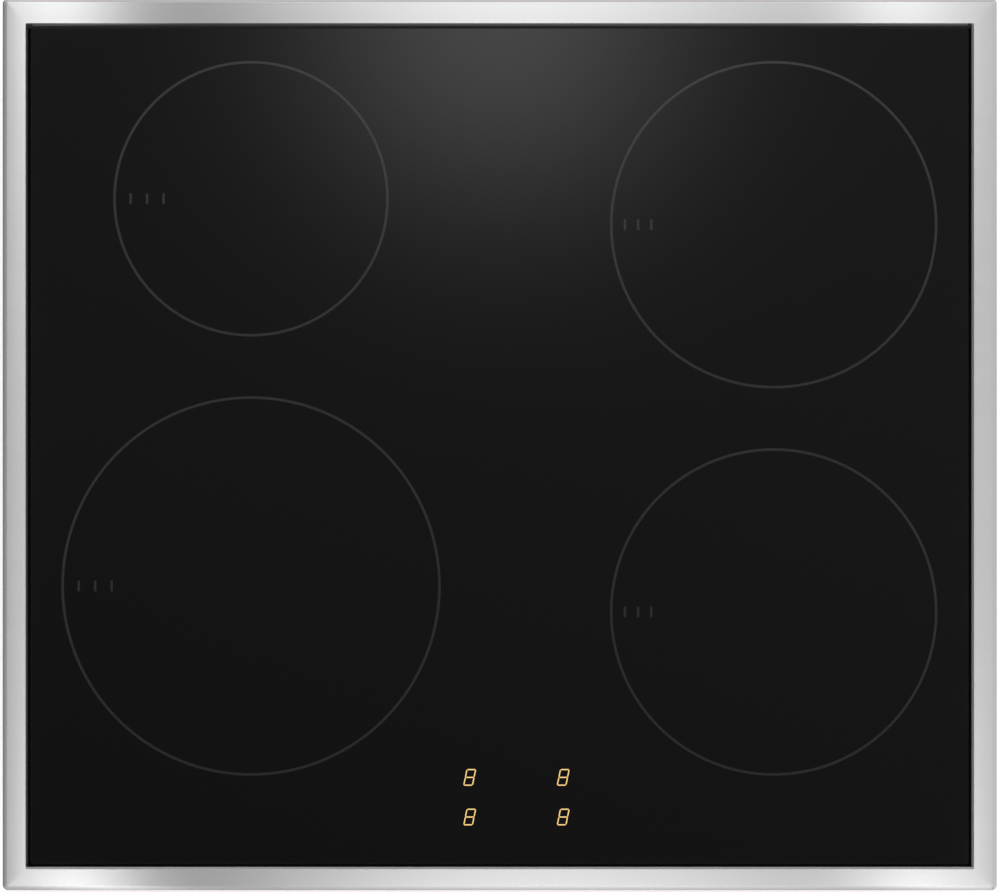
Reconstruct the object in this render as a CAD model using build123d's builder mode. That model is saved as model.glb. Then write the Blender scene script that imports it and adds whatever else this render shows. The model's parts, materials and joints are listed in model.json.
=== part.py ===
"""Built-in four-zone induction cooktop with a raised stainless trim frame, as an assembly of separate pieces.

Millimetres, +X right, +Y to the rear, +Z up. The origin is the centre of the worktop plane, which is the
underside of the sealing gasket, so the casing hangs below Z = 0 and the glass and its frame stand above it.
"""

import os
from math import atan2, cos, pi, radians, sin, sqrt, tan

from build123d import *

os.makedirs("parts", exist_ok=True)

# ------------------------------------------------------------------ driving dimensions
# Trim frame: a folded stainless ring with a bevelled outer edge and a shelf for the glass
frame_length = 574.0
frame_depth = 515.0
frame_rise = 6.5            # top of the frame above the worktop
frame_band = 13.4           # outer edge to the inner edge of the flat top, before the glass's shift
frame_sheet = 0.8
frame_bevel_run = 2.6
frame_bevel_drop = 1.6
frame_inner_run = 1.5       # width of the sloped inner edge
frame_inner_drop = 2.8      # height of the sloped inner edge
frame_shelf = 10.0
frame_corner_softness = 0.2  # corner radius left on the flat top's outer corner, inside the sheet
skirt_gap = 0.6             # skirt's edge above the worktop
flange_overhang = 0.8       # casing flange beyond the frame's inner web

# Glass plate and the silicone that holds it
glass_thickness = 4.0
glass_drop = 2.6            # glass surface below the frame's top
glass_shift = 1.1           # glass and its opening forward of the frame's middle
glass_corner_radius = 1.0
glass_edge_chamfer = 0.4
seal_width = 1.0
seal_bed = 0.4
seal_recess = 0.3           # bead's top below the glass surface
gasket_inset = 3.5          # frame's outer edge to the foam strip
gasket_width = 7.5

# Cooking zones: diameter of the printed ring and smallest pan, with the ring's gap to the glass edge
zone_diameter_large = 220.0
zone_diameter_medium = 190.0
zone_diameter_small = 160.0
smallest_pan_large = 161.0
smallest_pan_medium = 141.4
smallest_pan_small = 101.0
zone_margin_left = 17.4
zone_margin_right = 17.9
zone_margin_rear = 18.65
zone_margin_front = 50.85
print_width = 1.5
print_depth = 0.1
ring_inset = 0.4            # ring's outer edge inside the zone's nominal circle
tick_length = 6.2
tick_width = 1.4
tick_pitch_left = 9.5
tick_pitch_right = 7.6
ticks_per_zone = 3

# Casing: a folded tray with a flange that screws up to the frame's shelf
casing_height = 48.0        # worktop plane to the underside
casing_sheet = 0.8
casing_rim_side = 18.0      # flange width outside the left and right walls
casing_rim_end = 12.0       # flange width outside the front and rear walls
casing_corner_radius = 12.0
casing_bend_radius = 2.0
rib_width = 10.0
rib_height = 1.5
rib_count = 5
vent_slot_width = 3.0
vent_slot_length = 20.0
vent_pitch = 9.0
vent_height = 30.0          # middle of the wall slots above the casing's underside

# Fasteners
screw_shank_radius = 1.9
screw_head_radius = 3.8
screw_head_height = 2.4
screw_clearance = 0.1
drive_recess_depth = 1.2

# Coils, from the glass down
mica_thickness = 0.5
coil_margin = 10.0          # winding's rim inside the zone's nominal circle
winding_height = 3.5
winding_inner_radius = 20.0
wire_pitch = 3.2
wire_groove = 0.8
former_plate = 2.0
former_rim = 3.0
former_hub_radius = 17.0
former_hub_wall = 2.0
ferrite_thickness = 4.0
ferrite_width = 12.0
ferrite_inner_radius = 24.0
ferrite_count = 8
pocket_wall = 1.5
pocket_clearance = 0.2
spring_gap = 1.5            # ferrites above the tray
spring_length = 20.0
spring_width = 8.0
spring_sheet = 0.5
springs_per_coil = 4
sensor_stem_radius = 5.0
sensor_flange_radius = 8.0
sensor_flange_height = 1.5
lead_radius = 1.3
lead_spacing = 5.0
lead_bend_radius = 5.0
lead_inset = 8.0            # leads inside the winding's rim
lead_gap = 1.5              # leads below the tray
lead_clearance = 0.4
lead_tray_clearance = 1.5

# Trays under the coils
tray_sheet = 1.5
tray_edge_gap = 3.2         # tray's edge to the casing's inner wall
tray_coil_gap = 8.0         # tray's inner edge beyond the winding
tray_screw_clearance = 0.2
tray_vent_radius = 12.0
post_radius = 4.0
post_thread = 8.0
post_inset = 9.0
post_middle_y = 22.5

# Power boards and their cooling
strip_half_width = 60.0     # free strip along the middle of the casing
board_sheet = 1.6
board_standoff = 5.0
board_wall_gap = 10.0
board_front_gap = 36.0
board_length = 210.0
board_strip_gap = 5.0
board_hole_inset = 7.0
boss_radius = 4.0
boss_pin_radius = 1.6
boss_pin_rise = 1.4         # pin above the board
heatsink_width = 44.0
heatsink_length = 130.0
heatsink_height = 24.0
heatsink_base = 3.0
fin_count = 9
fin_thickness = 1.2
transistor_width = 15.0
transistor_height = 20.0
transistor_thickness = 4.5
transistor_count = 4
transistor_lead = 1.2
film_width = 18.0
film_length = 30.0
film_height = 20.0
film_count = 3
film_gap = 6.0
film_corner = 1.0
bulk_radius = 15.0
bulk_height = 25.0
bulk_count = 2
fan_offset_x = 100.0
fan_gap_y = 15.0            # fan housing behind the power board
fan_housing_size = 90.0
fan_housing_height = 28.0
fan_wall = 2.0
fan_side_wall = 4.0         # housing's wall at the middle of each side
fan_outlet_width = 56.0
fan_outlet_height = 18.0
rotor_side_gap = 3.0        # rotor's rim to the housing's wall
rotor_blade_depth = 11.0
rotor_blade_thickness = 0.9
rotor_blade_count = 30
rotor_blade_sweep = 32.0
rotor_plate = 1.5
rotor_gap = 1.2             # rotor to the housing's roof
rotor_floor_gap = 4.5       # rotor above the casing floor
hub_radius = 13.0
hub_wall = 2.5
stator_clearance = 1.0
axle_radius = 1.5
axle_clearance = 0.06
inlet_slot_width = 3.0
inlet_pitch = 6.5
inlet_margin = 3.0          # inlet slots inside the rotor's rim

# Mains side: filter board and terminal compartment on the middle strip
filter_length = 92.0
filter_width = 88.0
choke_radius = 17.0
choke_wire_radius = 6.0
choke_winding = 1.4
choke_span = 110.0          # degrees of the core under each winding
choke_x = 22.0
filter_film_count = 3
terminal_box_length = 76.0
terminal_box_depth = 52.0
terminal_box_height = 27.0
terminal_wall = 2.0
terminal_wall_gap = 0.3     # box to the bend at the foot of the casing's rear wall
cover_side_gap = 4.0        # cover's end to the box's inner wall, where the lugs hang
cover_clearance = 0.5
cover_thickness = 2.0
cover_pin_radius = 1.5
cover_pin_length = 3.0
cover_knuckle_radius = 2.3
cover_end_gap = 0.5         # cover's end to the lug
pin_clearance = 0.1
lug_height = 6.0
notch_length = 16.0
notch_depth = 4.0
wire_slot_height = 5.0
cover_frame_lip = 4.0       # casing floor under the box's front and rear walls
block_length = 54.0
block_depth = 18.0
block_height = 14.0
block_poles = 5
cable_port_width = 22.0
cable_port_height = 12.0
cable_port_rise = 13.0      # middle of the port above the casing's underside
grommet_wall = 2.0
grommet_grip = 1.2          # rubber on each side of the sheet

# Display behind the glass, with four digits
display_shift = -5.1        # middle of the digits from the middle of the space between the front zones
digit_spacing_x = 54.0
digit_spacing_y = 22.9
digit_front_gap = 38.86     # middle of the four digits behind the glass's front edge
digit_module_width = 12.6
digit_module_depth = 17.0
digit_glass_gap = 0.3
digit_cell = 4.5            # height of each half of a digit, between bar middles
digit_width = 5.0
digit_slant = 11.5
segment_width = 0.7
segment_gap = 0.12
segment_depth = 0.4
display_board_length = 92.0
display_board_depth = 44.0
display_board_sheet = 1.6
carrier_margin = 3.0        # carrier's ears beyond the screw heads on the trays
carrier_wall = 1.2

# Control socket, which faces down through the casing floor
socket_front_gap = 47.0     # middle of the socket behind the casing's front wall
socket_length = 40.0
socket_depth = 18.0
socket_height = 18.0
socket_wall = 2.5
pin_count = 6
pin_side = 1.0
pin_length = 4.0

# Clamps that swing out under the worktop
clamp_y = 150.0
clamp_reach = 26.0
clamp_width = 13.0
clamp_plate = 2.0
clamp_tip_rise = 4.0
clamp_collar_radius = 4.6
clamp_collar_height = 9.0
clamp_screw_radius = 2.4
clamp_screw_head_radius = 4.4
clamp_screw_head_height = 3.0
clamp_floor_gap = 1.2       # screw head above the casing's underside
clamp_gap = 0.3
nut_radius = 5.0
nut_height = 4.0

# ------------------------------------------------------------------ derived sizes and places
frame_half_x = frame_length / 2
frame_half_y = frame_depth / 2
web_inset = frame_band + frame_inner_run
bevel_slope = atan2(frame_bevel_drop, frame_bevel_run)
inner_slope = atan2(frame_inner_drop, frame_inner_run)
# how far a fold's inner corner lies from its outer one: the bevel's two, then the inner edge's two
bevel_fold = frame_sheet * tan(bevel_slope / 2)
skirt_fold = frame_sheet * tan((pi / 2 - bevel_slope) / 2)
upper_fold = frame_sheet * tan(inner_slope / 2)
lower_fold = frame_sheet * tan((pi / 2 - inner_slope) / 2)
frame_corner_radius = frame_bevel_run + bevel_fold + frame_corner_softness
glass_top = frame_rise - glass_drop
glass_bottom = glass_top - glass_thickness
shelf_top = glass_bottom - seal_bed
shelf_bottom = shelf_top - frame_sheet
shelf_end = web_inset + frame_shelf
glass_inset = web_inset + seal_width
glass_half_x = frame_half_x - glass_inset
glass_half_y = frame_half_y - glass_inset
glass_y = -glass_shift

flange_inset = web_inset - frame_sheet - flange_overhang
flange_length = frame_length - 2 * flange_inset
flange_depth = frame_depth - 2 * flange_inset
flange_top = shelf_bottom
flange_bottom = flange_top - casing_sheet
wall_length = flange_length - 2 * casing_rim_side
wall_depth = flange_depth - 2 * casing_rim_end
wall_half_x = wall_length / 2
wall_half_y = wall_depth / 2
floor_bottom = -casing_height
floor_top = floor_bottom + casing_sheet
inner_half_x = wall_half_x - casing_sheet
inner_half_y = wall_half_y - casing_sheet
screw_inset = (web_inset + shelf_end) / 2

winding_top = glass_bottom - mica_thickness
former_top = winding_top - winding_height
former_bottom = former_top - former_plate
ferrite_bottom = former_bottom - ferrite_thickness
tray_top = ferrite_bottom - spring_gap
tray_bottom = tray_top - tray_sheet

left_zone_x = -(glass_half_x - zone_margin_left - zone_diameter_large / 2)
right_zone_x = glass_half_x - zone_margin_right - zone_diameter_medium / 2


def rear_zone_y(diameter):
    """Middle of a zone whose ring ends at the rear margin."""
    return glass_y + glass_half_y - zone_margin_rear - diameter / 2


def front_zone_y(diameter):
    """Middle of a zone whose ring ends at the front margin."""
    return glass_y - glass_half_y + zone_margin_front + diameter / 2


# name: middle of the zone and its nominal diameter
zones = {
    "rear_left": (left_zone_x, rear_zone_y(zone_diameter_small), zone_diameter_small),
    "front_left": (left_zone_x, front_zone_y(zone_diameter_large), zone_diameter_large),
    "rear_right": (right_zone_x, rear_zone_y(zone_diameter_medium), zone_diameter_medium),
    "front_right": (right_zone_x, front_zone_y(zone_diameter_medium), zone_diameter_medium),
}
# name: radius of the innermost tick, which marks the smallest pan, and the step to the next
ticks = {
    "rear_left": (smallest_pan_small / 2, tick_pitch_left),
    "front_left": (smallest_pan_large / 2, tick_pitch_left),
    "rear_right": (smallest_pan_medium / 2, tick_pitch_right),
    "front_right": (smallest_pan_medium / 2, tick_pitch_right),
}
sides = {"left": -1, "right": 1}

board_bottom = floor_top + board_standoff
board_top = board_bottom + board_sheet
board_inner_x = strip_half_width + board_strip_gap
board_outer_x = inner_half_x - board_wall_gap
board_width = board_outer_x - board_inner_x
board_mid_x = (board_inner_x + board_outer_x) / 2
board_front_y = -inner_half_y + board_front_gap
board_rear_y = board_front_y + board_length
board_mid_y = (board_front_y + board_rear_y) / 2
fan_y = board_rear_y + fan_gap_y + fan_housing_size / 2
fan_cavity_radius = fan_housing_size / 2 - fan_side_wall
rotor_radius = fan_cavity_radius - rotor_side_gap
rotor_blade_inner_radius = rotor_radius - rotor_blade_depth
inlet_radius = rotor_radius - inlet_margin
socket_y = socket_front_gap - wall_half_y
heatsink_x = fan_offset_x
heatsink_y = board_rear_y - board_hole_inset - heatsink_length / 2

tray_front_y = -(inner_half_y - tray_edge_gap)
tray_rear_y = inner_half_y - tray_edge_gap
tray_left = (-(inner_half_x - tray_edge_gap), left_zone_x + zone_diameter_large / 2 - coil_margin + tray_coil_gap)
tray_right = (right_zone_x - zone_diameter_medium / 2 + coil_margin - tray_coil_gap, inner_half_x - tray_edge_gap)
trays = {"left": tray_left, "right": tray_right}

terminal_rear_y = inner_half_y - (casing_bend_radius - casing_sheet) - terminal_wall_gap
terminal_mid_y = terminal_rear_y - terminal_box_depth / 2
opening_length = terminal_box_length - 2 * terminal_wall
opening_depth = terminal_box_depth - 2 * cover_frame_lip
cover_length = opening_length - 2 * cover_side_gap
cover_reach = opening_depth - cover_knuckle_radius - 2 * cover_clearance
hinge_y = terminal_mid_y - opening_depth / 2 + cover_knuckle_radius + cover_clearance
hinge_z = floor_bottom + cover_knuckle_radius
cable_port_z = floor_bottom + cable_port_rise
filter_rear_y = terminal_mid_y - terminal_box_depth / 2 - terminal_wall
filter_mid_y = filter_rear_y - filter_width / 2

digit_mid_y = glass_y - glass_half_y + digit_front_gap
digit_top = glass_bottom - digit_glass_gap
display_board_bottom = tray_top + screw_head_height + screw_clearance
display_board_top = display_board_bottom + display_board_sheet
display_x = (tray_left[1] + tray_right[0]) / 2 + display_shift

clamp_x = wall_half_x + casing_rim_side / 2
clamp_head_bottom = floor_bottom + clamp_floor_gap
clamp_head_top = clamp_head_bottom + clamp_screw_head_height
clamp_plate_bottom = clamp_head_top + clamp_gap


def places(xs, ys):
    """Every pairing of the given x and y values, as points."""
    return [(x, y) for x in xs for y in ys]


def finish(part, name):
    """Labels a finished piece and writes its STEP file."""
    part.label = name
    export_step(part, f"parts/{name}.step")


# Casing screws: along the front and rear flanges, and along both side flanges clear of the clamps
end_screw_x = flange_length / 2 - casing_rim_side - casing_corner_radius - screw_head_radius
screw_points = places((-end_screw_x, -end_screw_x / 3, end_screw_x / 3, end_screw_x),
                      (glass_y - (frame_half_y - screw_inset), glass_y + frame_half_y - screw_inset))
screw_points += places((-(frame_half_x - screw_inset), frame_half_x - screw_inset), (-clamp_y / 2.5, clamp_y / 2.5))
clamp_points = {
    "front_left": (-clamp_x, -clamp_y),
    "front_right": (clamp_x, -clamp_y),
    "rear_left": (-clamp_x, clamp_y),
    "rear_right": (clamp_x, clamp_y),
}

# ------------------------------------------------------------------ trim frame, glass, print and seals
def inset_rectangle(inset, mode=Mode.ADD):
    """Sharp-cornered rectangle lying inside the frame's outline by the inset, in the current sketch."""
    Rectangle(frame_length - 2 * inset, frame_depth - 2 * inset, mode=mode)


def pocket_rectangle(inset, mode=Mode.ADD):
    """The inset rectangle moved forward to lie about the glass's middle."""
    with Locations((0, glass_y)):
        inset_rectangle(inset, mode)


def bevel_outer_edges(run, drop):
    """Cuts the top's outer edges back by the run along the top and by the drop down the sides."""
    chamfer(edges().group_by(Axis.Z)[-1], run, drop, reference=faces().sort_by(Axis.Z)[-1])


with BuildPart() as fold_hollow:
    with BuildSketch():
        RectangleRounded(frame_length - 2 * frame_sheet, frame_depth - 2 * frame_sheet,
                         frame_corner_radius - frame_sheet)
    extrude(amount=frame_rise - frame_sheet)
    bevel_outer_edges(frame_bevel_run - frame_sheet + bevel_fold, frame_bevel_drop - frame_sheet + skirt_fold)
    with BuildSketch():
        pocket_rectangle(web_inset - frame_sheet)
    extrude(amount=frame_rise - frame_inner_drop - lower_fold, mode=Mode.SUBTRACT)
    with BuildSketch(Plane.XY.offset(frame_rise - frame_inner_drop - lower_fold)):
        pocket_rectangle(web_inset - frame_sheet)
    with BuildSketch(Plane.XY.offset(frame_rise - frame_sheet)):
        pocket_rectangle(frame_band - upper_fold)
    loft(mode=Mode.SUBTRACT)

with BuildPart() as trim_frame:
    with BuildSketch(Plane.XY.offset(skirt_gap)):
        RectangleRounded(frame_length, frame_depth, frame_corner_radius)
    extrude(amount=frame_rise - skirt_gap)
    bevel_outer_edges(frame_bevel_run, frame_bevel_drop)
    add(fold_hollow.part, mode=Mode.SUBTRACT)
    # web and shelf, then the glass's pocket with its flared mouth
    with BuildSketch(Plane.XY.offset(shelf_bottom)):
        pocket_rectangle(web_inset - frame_sheet)
    extrude(amount=glass_top - shelf_bottom)
    with BuildSketch(Plane.XY.offset(shelf_top)):
        pocket_rectangle(web_inset)
    extrude(amount=frame_rise - shelf_top, mode=Mode.SUBTRACT)
    with BuildSketch(Plane.XY.offset(frame_rise - frame_inner_drop)):
        pocket_rectangle(web_inset)
    with BuildSketch(Plane.XY.offset(frame_rise)):
        pocket_rectangle(frame_band)
    loft(mode=Mode.SUBTRACT)
    with BuildSketch(Plane.XY.offset(shelf_bottom)):
        pocket_rectangle(shelf_end)
        with Locations(*screw_points):
            Circle(screw_shank_radius + screw_clearance)
    extrude(amount=frame_sheet, mode=Mode.SUBTRACT)
finish(trim_frame.part, "trim_frame")

with BuildPart() as zone_print:
    with BuildSketch(Plane.XY.offset(glass_top - print_depth)):
        for zone, (x, y, diameter) in zones.items():
            with Locations((x, y)):
                Circle(diameter / 2 - ring_inset)
                Circle(diameter / 2 - ring_inset - print_width, mode=Mode.SUBTRACT)
            first, pitch = ticks[zone]
            with Locations(*[(x - first - step * pitch, y) for step in range(ticks_per_zone)]):
                Rectangle(tick_width, tick_length)
    extrude(amount=print_depth)
finish(zone_print.part, "zone_print")

with BuildPart() as glass_plate:
    with BuildSketch(Plane.XY.offset(glass_bottom)):
        with Locations((0, glass_y)):
            RectangleRounded(2 * glass_half_x, 2 * glass_half_y, glass_corner_radius)
    extrude(amount=glass_thickness)
    chamfer(edges().group_by(Axis.Z)[-1] + edges().group_by(Axis.Z)[0], glass_edge_chamfer)
    add(zone_print.part, mode=Mode.SUBTRACT)
finish(glass_plate.part, "glass_plate")

with BuildPart() as glass_seal:
    with BuildSketch(Plane.XY.offset(shelf_top)):
        pocket_rectangle(web_inset)
        pocket_rectangle(shelf_end, Mode.SUBTRACT)
    extrude(amount=seal_bed)
    with BuildSketch(Plane.XY.offset(glass_bottom)):
        pocket_rectangle(web_inset)
        with Locations((0, glass_y)):
            RectangleRounded(2 * glass_half_x, 2 * glass_half_y, glass_corner_radius, mode=Mode.SUBTRACT)
    extrude(amount=glass_thickness - seal_recess)
finish(glass_seal.part, "glass_seal")

with BuildPart() as worktop_gasket:
    with BuildSketch():
        inset_rectangle(gasket_inset)
        inset_rectangle(gasket_inset + gasket_width, Mode.SUBTRACT)
    extrude(amount=frame_rise - frame_sheet)
finish(worktop_gasket.part, "worktop_gasket")

# ------------------------------------------------------------------ casing
fan_points = [(side * fan_offset_x, fan_y) for side in sides.values()]
vent_first_x = strip_half_width + vent_pitch
vent_count = int((inner_half_x - casing_corner_radius - vent_first_x) / vent_pitch)
vent_points = places([side * (vent_first_x + step * vent_pitch) for side in sides.values()
                      for step in range(vent_count)], [floor_bottom + vent_height])
inlet_rows = int(inlet_radius / inlet_pitch)
inlet_slots = [(row * inlet_pitch, 2 * sqrt((inlet_radius + inlet_slot_width) ** 2 - (row * inlet_pitch) ** 2))
               for row in range(-inlet_rows, inlet_rows + 1)]
rib_first_y = socket_y + socket_depth / 2 + rib_width
rib_pitch = (filter_mid_y - filter_width / 2 - rib_width - rib_first_y) / (rib_count - 1)
rib_places = [rib_first_y + step * rib_pitch for step in range(rib_count)]
rib_length = 2 * (post_inset - tray_left[1] - post_radius - rib_height)


with BuildPart() as casing_cavity:
    with BuildSketch(Plane.XY.offset(floor_top)):
        RectangleRounded(2 * inner_half_x, 2 * inner_half_y, casing_corner_radius - casing_sheet)
    extrude(amount=flange_top - floor_top)
    fillet(edges().group_by(Axis.Z)[0], casing_bend_radius - casing_sheet)

with BuildPart() as casing:
    with BuildSketch(Plane.XY.offset(floor_bottom)):
        RectangleRounded(wall_length, wall_depth, casing_corner_radius)
    extrude(amount=flange_top - floor_bottom)
    fillet(edges().group_by(Axis.Z)[0], casing_bend_radius)
    with BuildSketch(Plane.XY.offset(flange_bottom)):
        RectangleRounded(flange_length, flange_depth, casing_corner_radius / 2)
    extrude(amount=casing_sheet)
    add(casing_cavity.part, mode=Mode.SUBTRACT)
    # pressed ribs across the floor's middle strip, hollow from below
    for y in rib_places:
        with BuildSketch(Plane.XY.offset(floor_bottom)):
            with Locations((0, y)):
                SlotOverall(rib_length, rib_width)
        extrude(amount=casing_sheet + rib_height)
        with BuildSketch(Plane.XY.offset(floor_bottom)):
            with Locations((0, y)):
                SlotOverall(rib_length - 2 * casing_sheet, rib_width - 2 * casing_sheet)
        extrude(amount=rib_height, mode=Mode.SUBTRACT)
    # floor: air inlets under the fans, the terminal cover's opening and the control socket's
    with BuildSketch(Plane.XY.offset(floor_bottom)):
        with Locations(*fan_points):
            for offset, length in inlet_slots:
                with Locations((0, offset)):
                    SlotOverall(length, inlet_slot_width)
        with Locations((0, terminal_mid_y)):
            Rectangle(opening_length, opening_depth)
        with Locations((0, socket_y)):
            Rectangle(socket_length - 2 * socket_wall, socket_depth - 2 * socket_wall)
    extrude(amount=casing_sheet, mode=Mode.SUBTRACT)
    # upright slots for warm air through the front wall, and through the rear wall beside the terminal box
    with BuildSketch(Plane.XZ.offset(wall_half_y - casing_sheet)):
        with Locations(*vent_points):
            SlotOverall(vent_slot_length, vent_slot_width, rotation=90)
    extrude(amount=casing_sheet, mode=Mode.SUBTRACT)
    with BuildSketch(Plane.XZ.offset(-wall_half_y)):
        with Locations(*vent_points):
            SlotOverall(vent_slot_length, vent_slot_width, rotation=90)
        with Locations((0, cable_port_z)):
            RectangleRounded(cable_port_width, cable_port_height, cable_port_height / 3)
    extrude(amount=casing_sheet, mode=Mode.SUBTRACT)
    with BuildSketch(Plane.XY.offset(flange_bottom)):
        with Locations(*screw_points):
            Circle(screw_shank_radius + screw_clearance)
        with Locations(*clamp_points.values()):
            Circle(clamp_screw_radius + screw_clearance)
    extrude(amount=casing_sheet, mode=Mode.SUBTRACT)
finish(casing.part, "casing")

with BuildPart() as casing_screws:
    with BuildSketch(Plane.XY.offset(flange_bottom - screw_head_height)):
        with Locations(*screw_points):
            Circle(screw_head_radius)
    extrude(amount=screw_head_height)
    with BuildSketch(Plane.XY.offset(flange_bottom)):
        with Locations(*screw_points):
            Circle(screw_shank_radius)
    extrude(amount=casing_sheet + frame_sheet)
    with BuildSketch(Plane.XY.offset(flange_bottom - screw_head_height)):
        with Locations(*screw_points):
            Rectangle(2 * screw_shank_radius, screw_shank_radius / 2)
            Rectangle(screw_shank_radius / 2, 2 * screw_shank_radius)
    extrude(amount=drive_recess_depth, mode=Mode.SUBTRACT)
finish(casing_screws.part, "casing_screws")

# ------------------------------------------------------------------ coils, one set under each zone
spring_height = former_bottom - tray_top
sensor_bore = sensor_stem_radius + pocket_clearance
bay_angle = 180 / ferrite_count


def winding_radius(diameter):
    """Outer radius of the winding under a zone."""
    return diameter / 2 - coil_margin


def lead_exits(zone):
    """Where a zone's two leads go down: at the outer wall for the front zones, at the front for the rear ones."""
    x, y, diameter = zones[zone]
    reach = winding_radius(diameter) - lead_inset
    if "front" in zone:
        outwards = sides[zone.split("_")[1]]
        return [(x + outwards * reach, y + offset) for offset in (-lead_spacing / 2, lead_spacing / 2)]
    return [(x + offset, y - reach) for offset in (-lead_spacing / 2, lead_spacing / 2)]


def lead_paths(zone):
    """Routes of a zone's leads from the winding to the power board."""
    paths = []
    for x, y in lead_exits(zone):
        if "front" in zone:
            paths.append([(x, y, former_top), (x, y, board_top)])
        else:
            landing = board_rear_y - board_hole_inset
            run_z = tray_bottom - lead_gap - lead_radius
            paths.append([(x, y, former_top), (x, y, run_z), (x, landing, run_z), (x, landing, board_top)])
    return paths


def post_points(side):
    """The tray posts on one side of the casing."""
    low_x, high_x = trays[side]
    return places((low_x + post_inset, high_x - post_inset),
                  (tray_front_y + post_inset, post_middle_y, tray_rear_y - post_inset))


for zone, (x, y, diameter) in zones.items():
    outer = winding_radius(diameter)
    ferrite_length = outer - pocket_wall - ferrite_inner_radius
    ferrite_middle = ferrite_inner_radius + ferrite_length / 2
    turns = int((outer - winding_inner_radius) / wire_pitch)

    with BuildPart() as coil_winding:
        with BuildSketch(Plane((x, y, former_top))):
            Circle(outer)
            Circle(winding_inner_radius, mode=Mode.SUBTRACT)
        extrude(amount=winding_height)
        # the grooves between the turns of the flat spiral
        with BuildSketch(Plane((x, y, winding_top - wire_groove))):
            for turn in range(turns - 1, 0, -1):
                Circle(winding_inner_radius + turn * wire_pitch + wire_groove / 2)
                Circle(winding_inner_radius + turn * wire_pitch - wire_groove / 2, mode=Mode.SUBTRACT)
        extrude(amount=wire_groove, mode=Mode.SUBTRACT)
    finish(coil_winding.part, f"coil_winding_{zone}")

    with BuildPart() as coil_former:
        with BuildSketch(Plane((x, y, former_bottom))):
            Circle(outer + former_rim)
        extrude(amount=former_plate)
        # raised rim and hub that centre the winding
        with BuildSketch(Plane((x, y, former_top))):
            Circle(outer + former_rim)
            Circle(outer + pocket_clearance, mode=Mode.SUBTRACT)
            Circle(winding_inner_radius - pocket_clearance)
            Circle(winding_inner_radius - pocket_clearance - former_hub_wall, mode=Mode.SUBTRACT)
        extrude(amount=winding_height)
        # pockets that hold the ferrite bars from below
        with BuildSketch(Plane((x, y, ferrite_bottom + pocket_wall))):
            with PolarLocations(ferrite_middle, ferrite_count, start_angle=bay_angle):
                Rectangle(ferrite_length + 2 * pocket_wall, ferrite_width + 2 * pocket_wall)
            with PolarLocations(ferrite_middle, ferrite_count, start_angle=bay_angle):
                Rectangle(ferrite_length + 2 * pocket_clearance, ferrite_width + 2 * pocket_clearance,
                          mode=Mode.SUBTRACT)
        extrude(amount=ferrite_thickness - pocket_wall)
        with BuildSketch(Plane((x, y, former_bottom))):
            Circle(sensor_bore)
        with BuildSketch(Plane.XY.offset(former_bottom)):
            with Locations(*lead_exits(zone)):
                Circle(lead_radius + lead_clearance)
        extrude(amount=former_plate, mode=Mode.SUBTRACT)
    finish(coil_former.part, f"coil_former_{zone}")

    with BuildPart() as ferrite_bars:
        with BuildSketch(Plane((x, y, ferrite_bottom))):
            with PolarLocations(ferrite_middle, ferrite_count, start_angle=bay_angle):
                Rectangle(ferrite_length, ferrite_width)
        extrude(amount=ferrite_thickness)
    finish(ferrite_bars.part, f"ferrite_bars_{zone}")

with BuildPart() as mica_discs:
    with BuildSketch(Plane.XY.offset(winding_top)):
        for x, y, diameter in zones.values():
            with Locations((x, y)):
                Circle(winding_radius(diameter) + former_rim)
                Circle(sensor_bore, mode=Mode.SUBTRACT)
    extrude(amount=mica_thickness)
finish(mica_discs.part, "mica_discs")

with BuildPart() as temperature_sensors:
    centres = [(x, y) for x, y, diameter in zones.values()]
    with BuildSketch(Plane.XY.offset(former_bottom - sensor_flange_height)):
        with Locations(*centres):
            Circle(sensor_flange_radius)
    extrude(amount=sensor_flange_height)
    with BuildSketch(Plane.XY.offset(former_bottom - sensor_flange_height)):
        with Locations(*centres):
            Circle(sensor_stem_radius)
    extrude(amount=glass_bottom - former_bottom + sensor_flange_height)
finish(temperature_sensors.part, "temperature_sensors")

with BuildPart() as coil_springs:
    for x, y, diameter in zones.values():
        reach = winding_radius(diameter) - former_rim - spring_length / 2
        for step in range(springs_per_coil):
            angle = (step + 0.5) * 360 / springs_per_coil
            foot = Vector(x + reach * cos(radians(angle)), y + reach * sin(radians(angle)), tray_top)
            across = Vector(-sin(radians(angle)), cos(radians(angle)))
            radial = Vector(cos(radians(angle)), sin(radians(angle)))
            with BuildSketch(Plane(origin=foot, x_dir=across, z_dir=radial)) as arch:
                with BuildLine():
                    ThreePointArc((-spring_length / 2, spring_sheet / 2), (0, spring_height - spring_sheet / 2),
                                  (spring_length / 2, spring_sheet / 2))
                trace(line_width=spring_sheet)
            extrude(amount=spring_width / 2, both=True)
finish(coil_springs.part, "coil_springs")

with BuildPart() as coil_leads:
    for zone in zones:
        for path in lead_paths(zone):
            with BuildLine() as route:
                if len(path) > 2:
                    FilletPolyline(*path, radius=lead_bend_radius)
                else:
                    Polyline(*path)
            with BuildSketch(Plane(origin=path[0], z_dir=(0, 0, -1))):
                Circle(lead_radius)
            sweep(path=route.line)
finish(coil_leads.part, "coil_leads")

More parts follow.
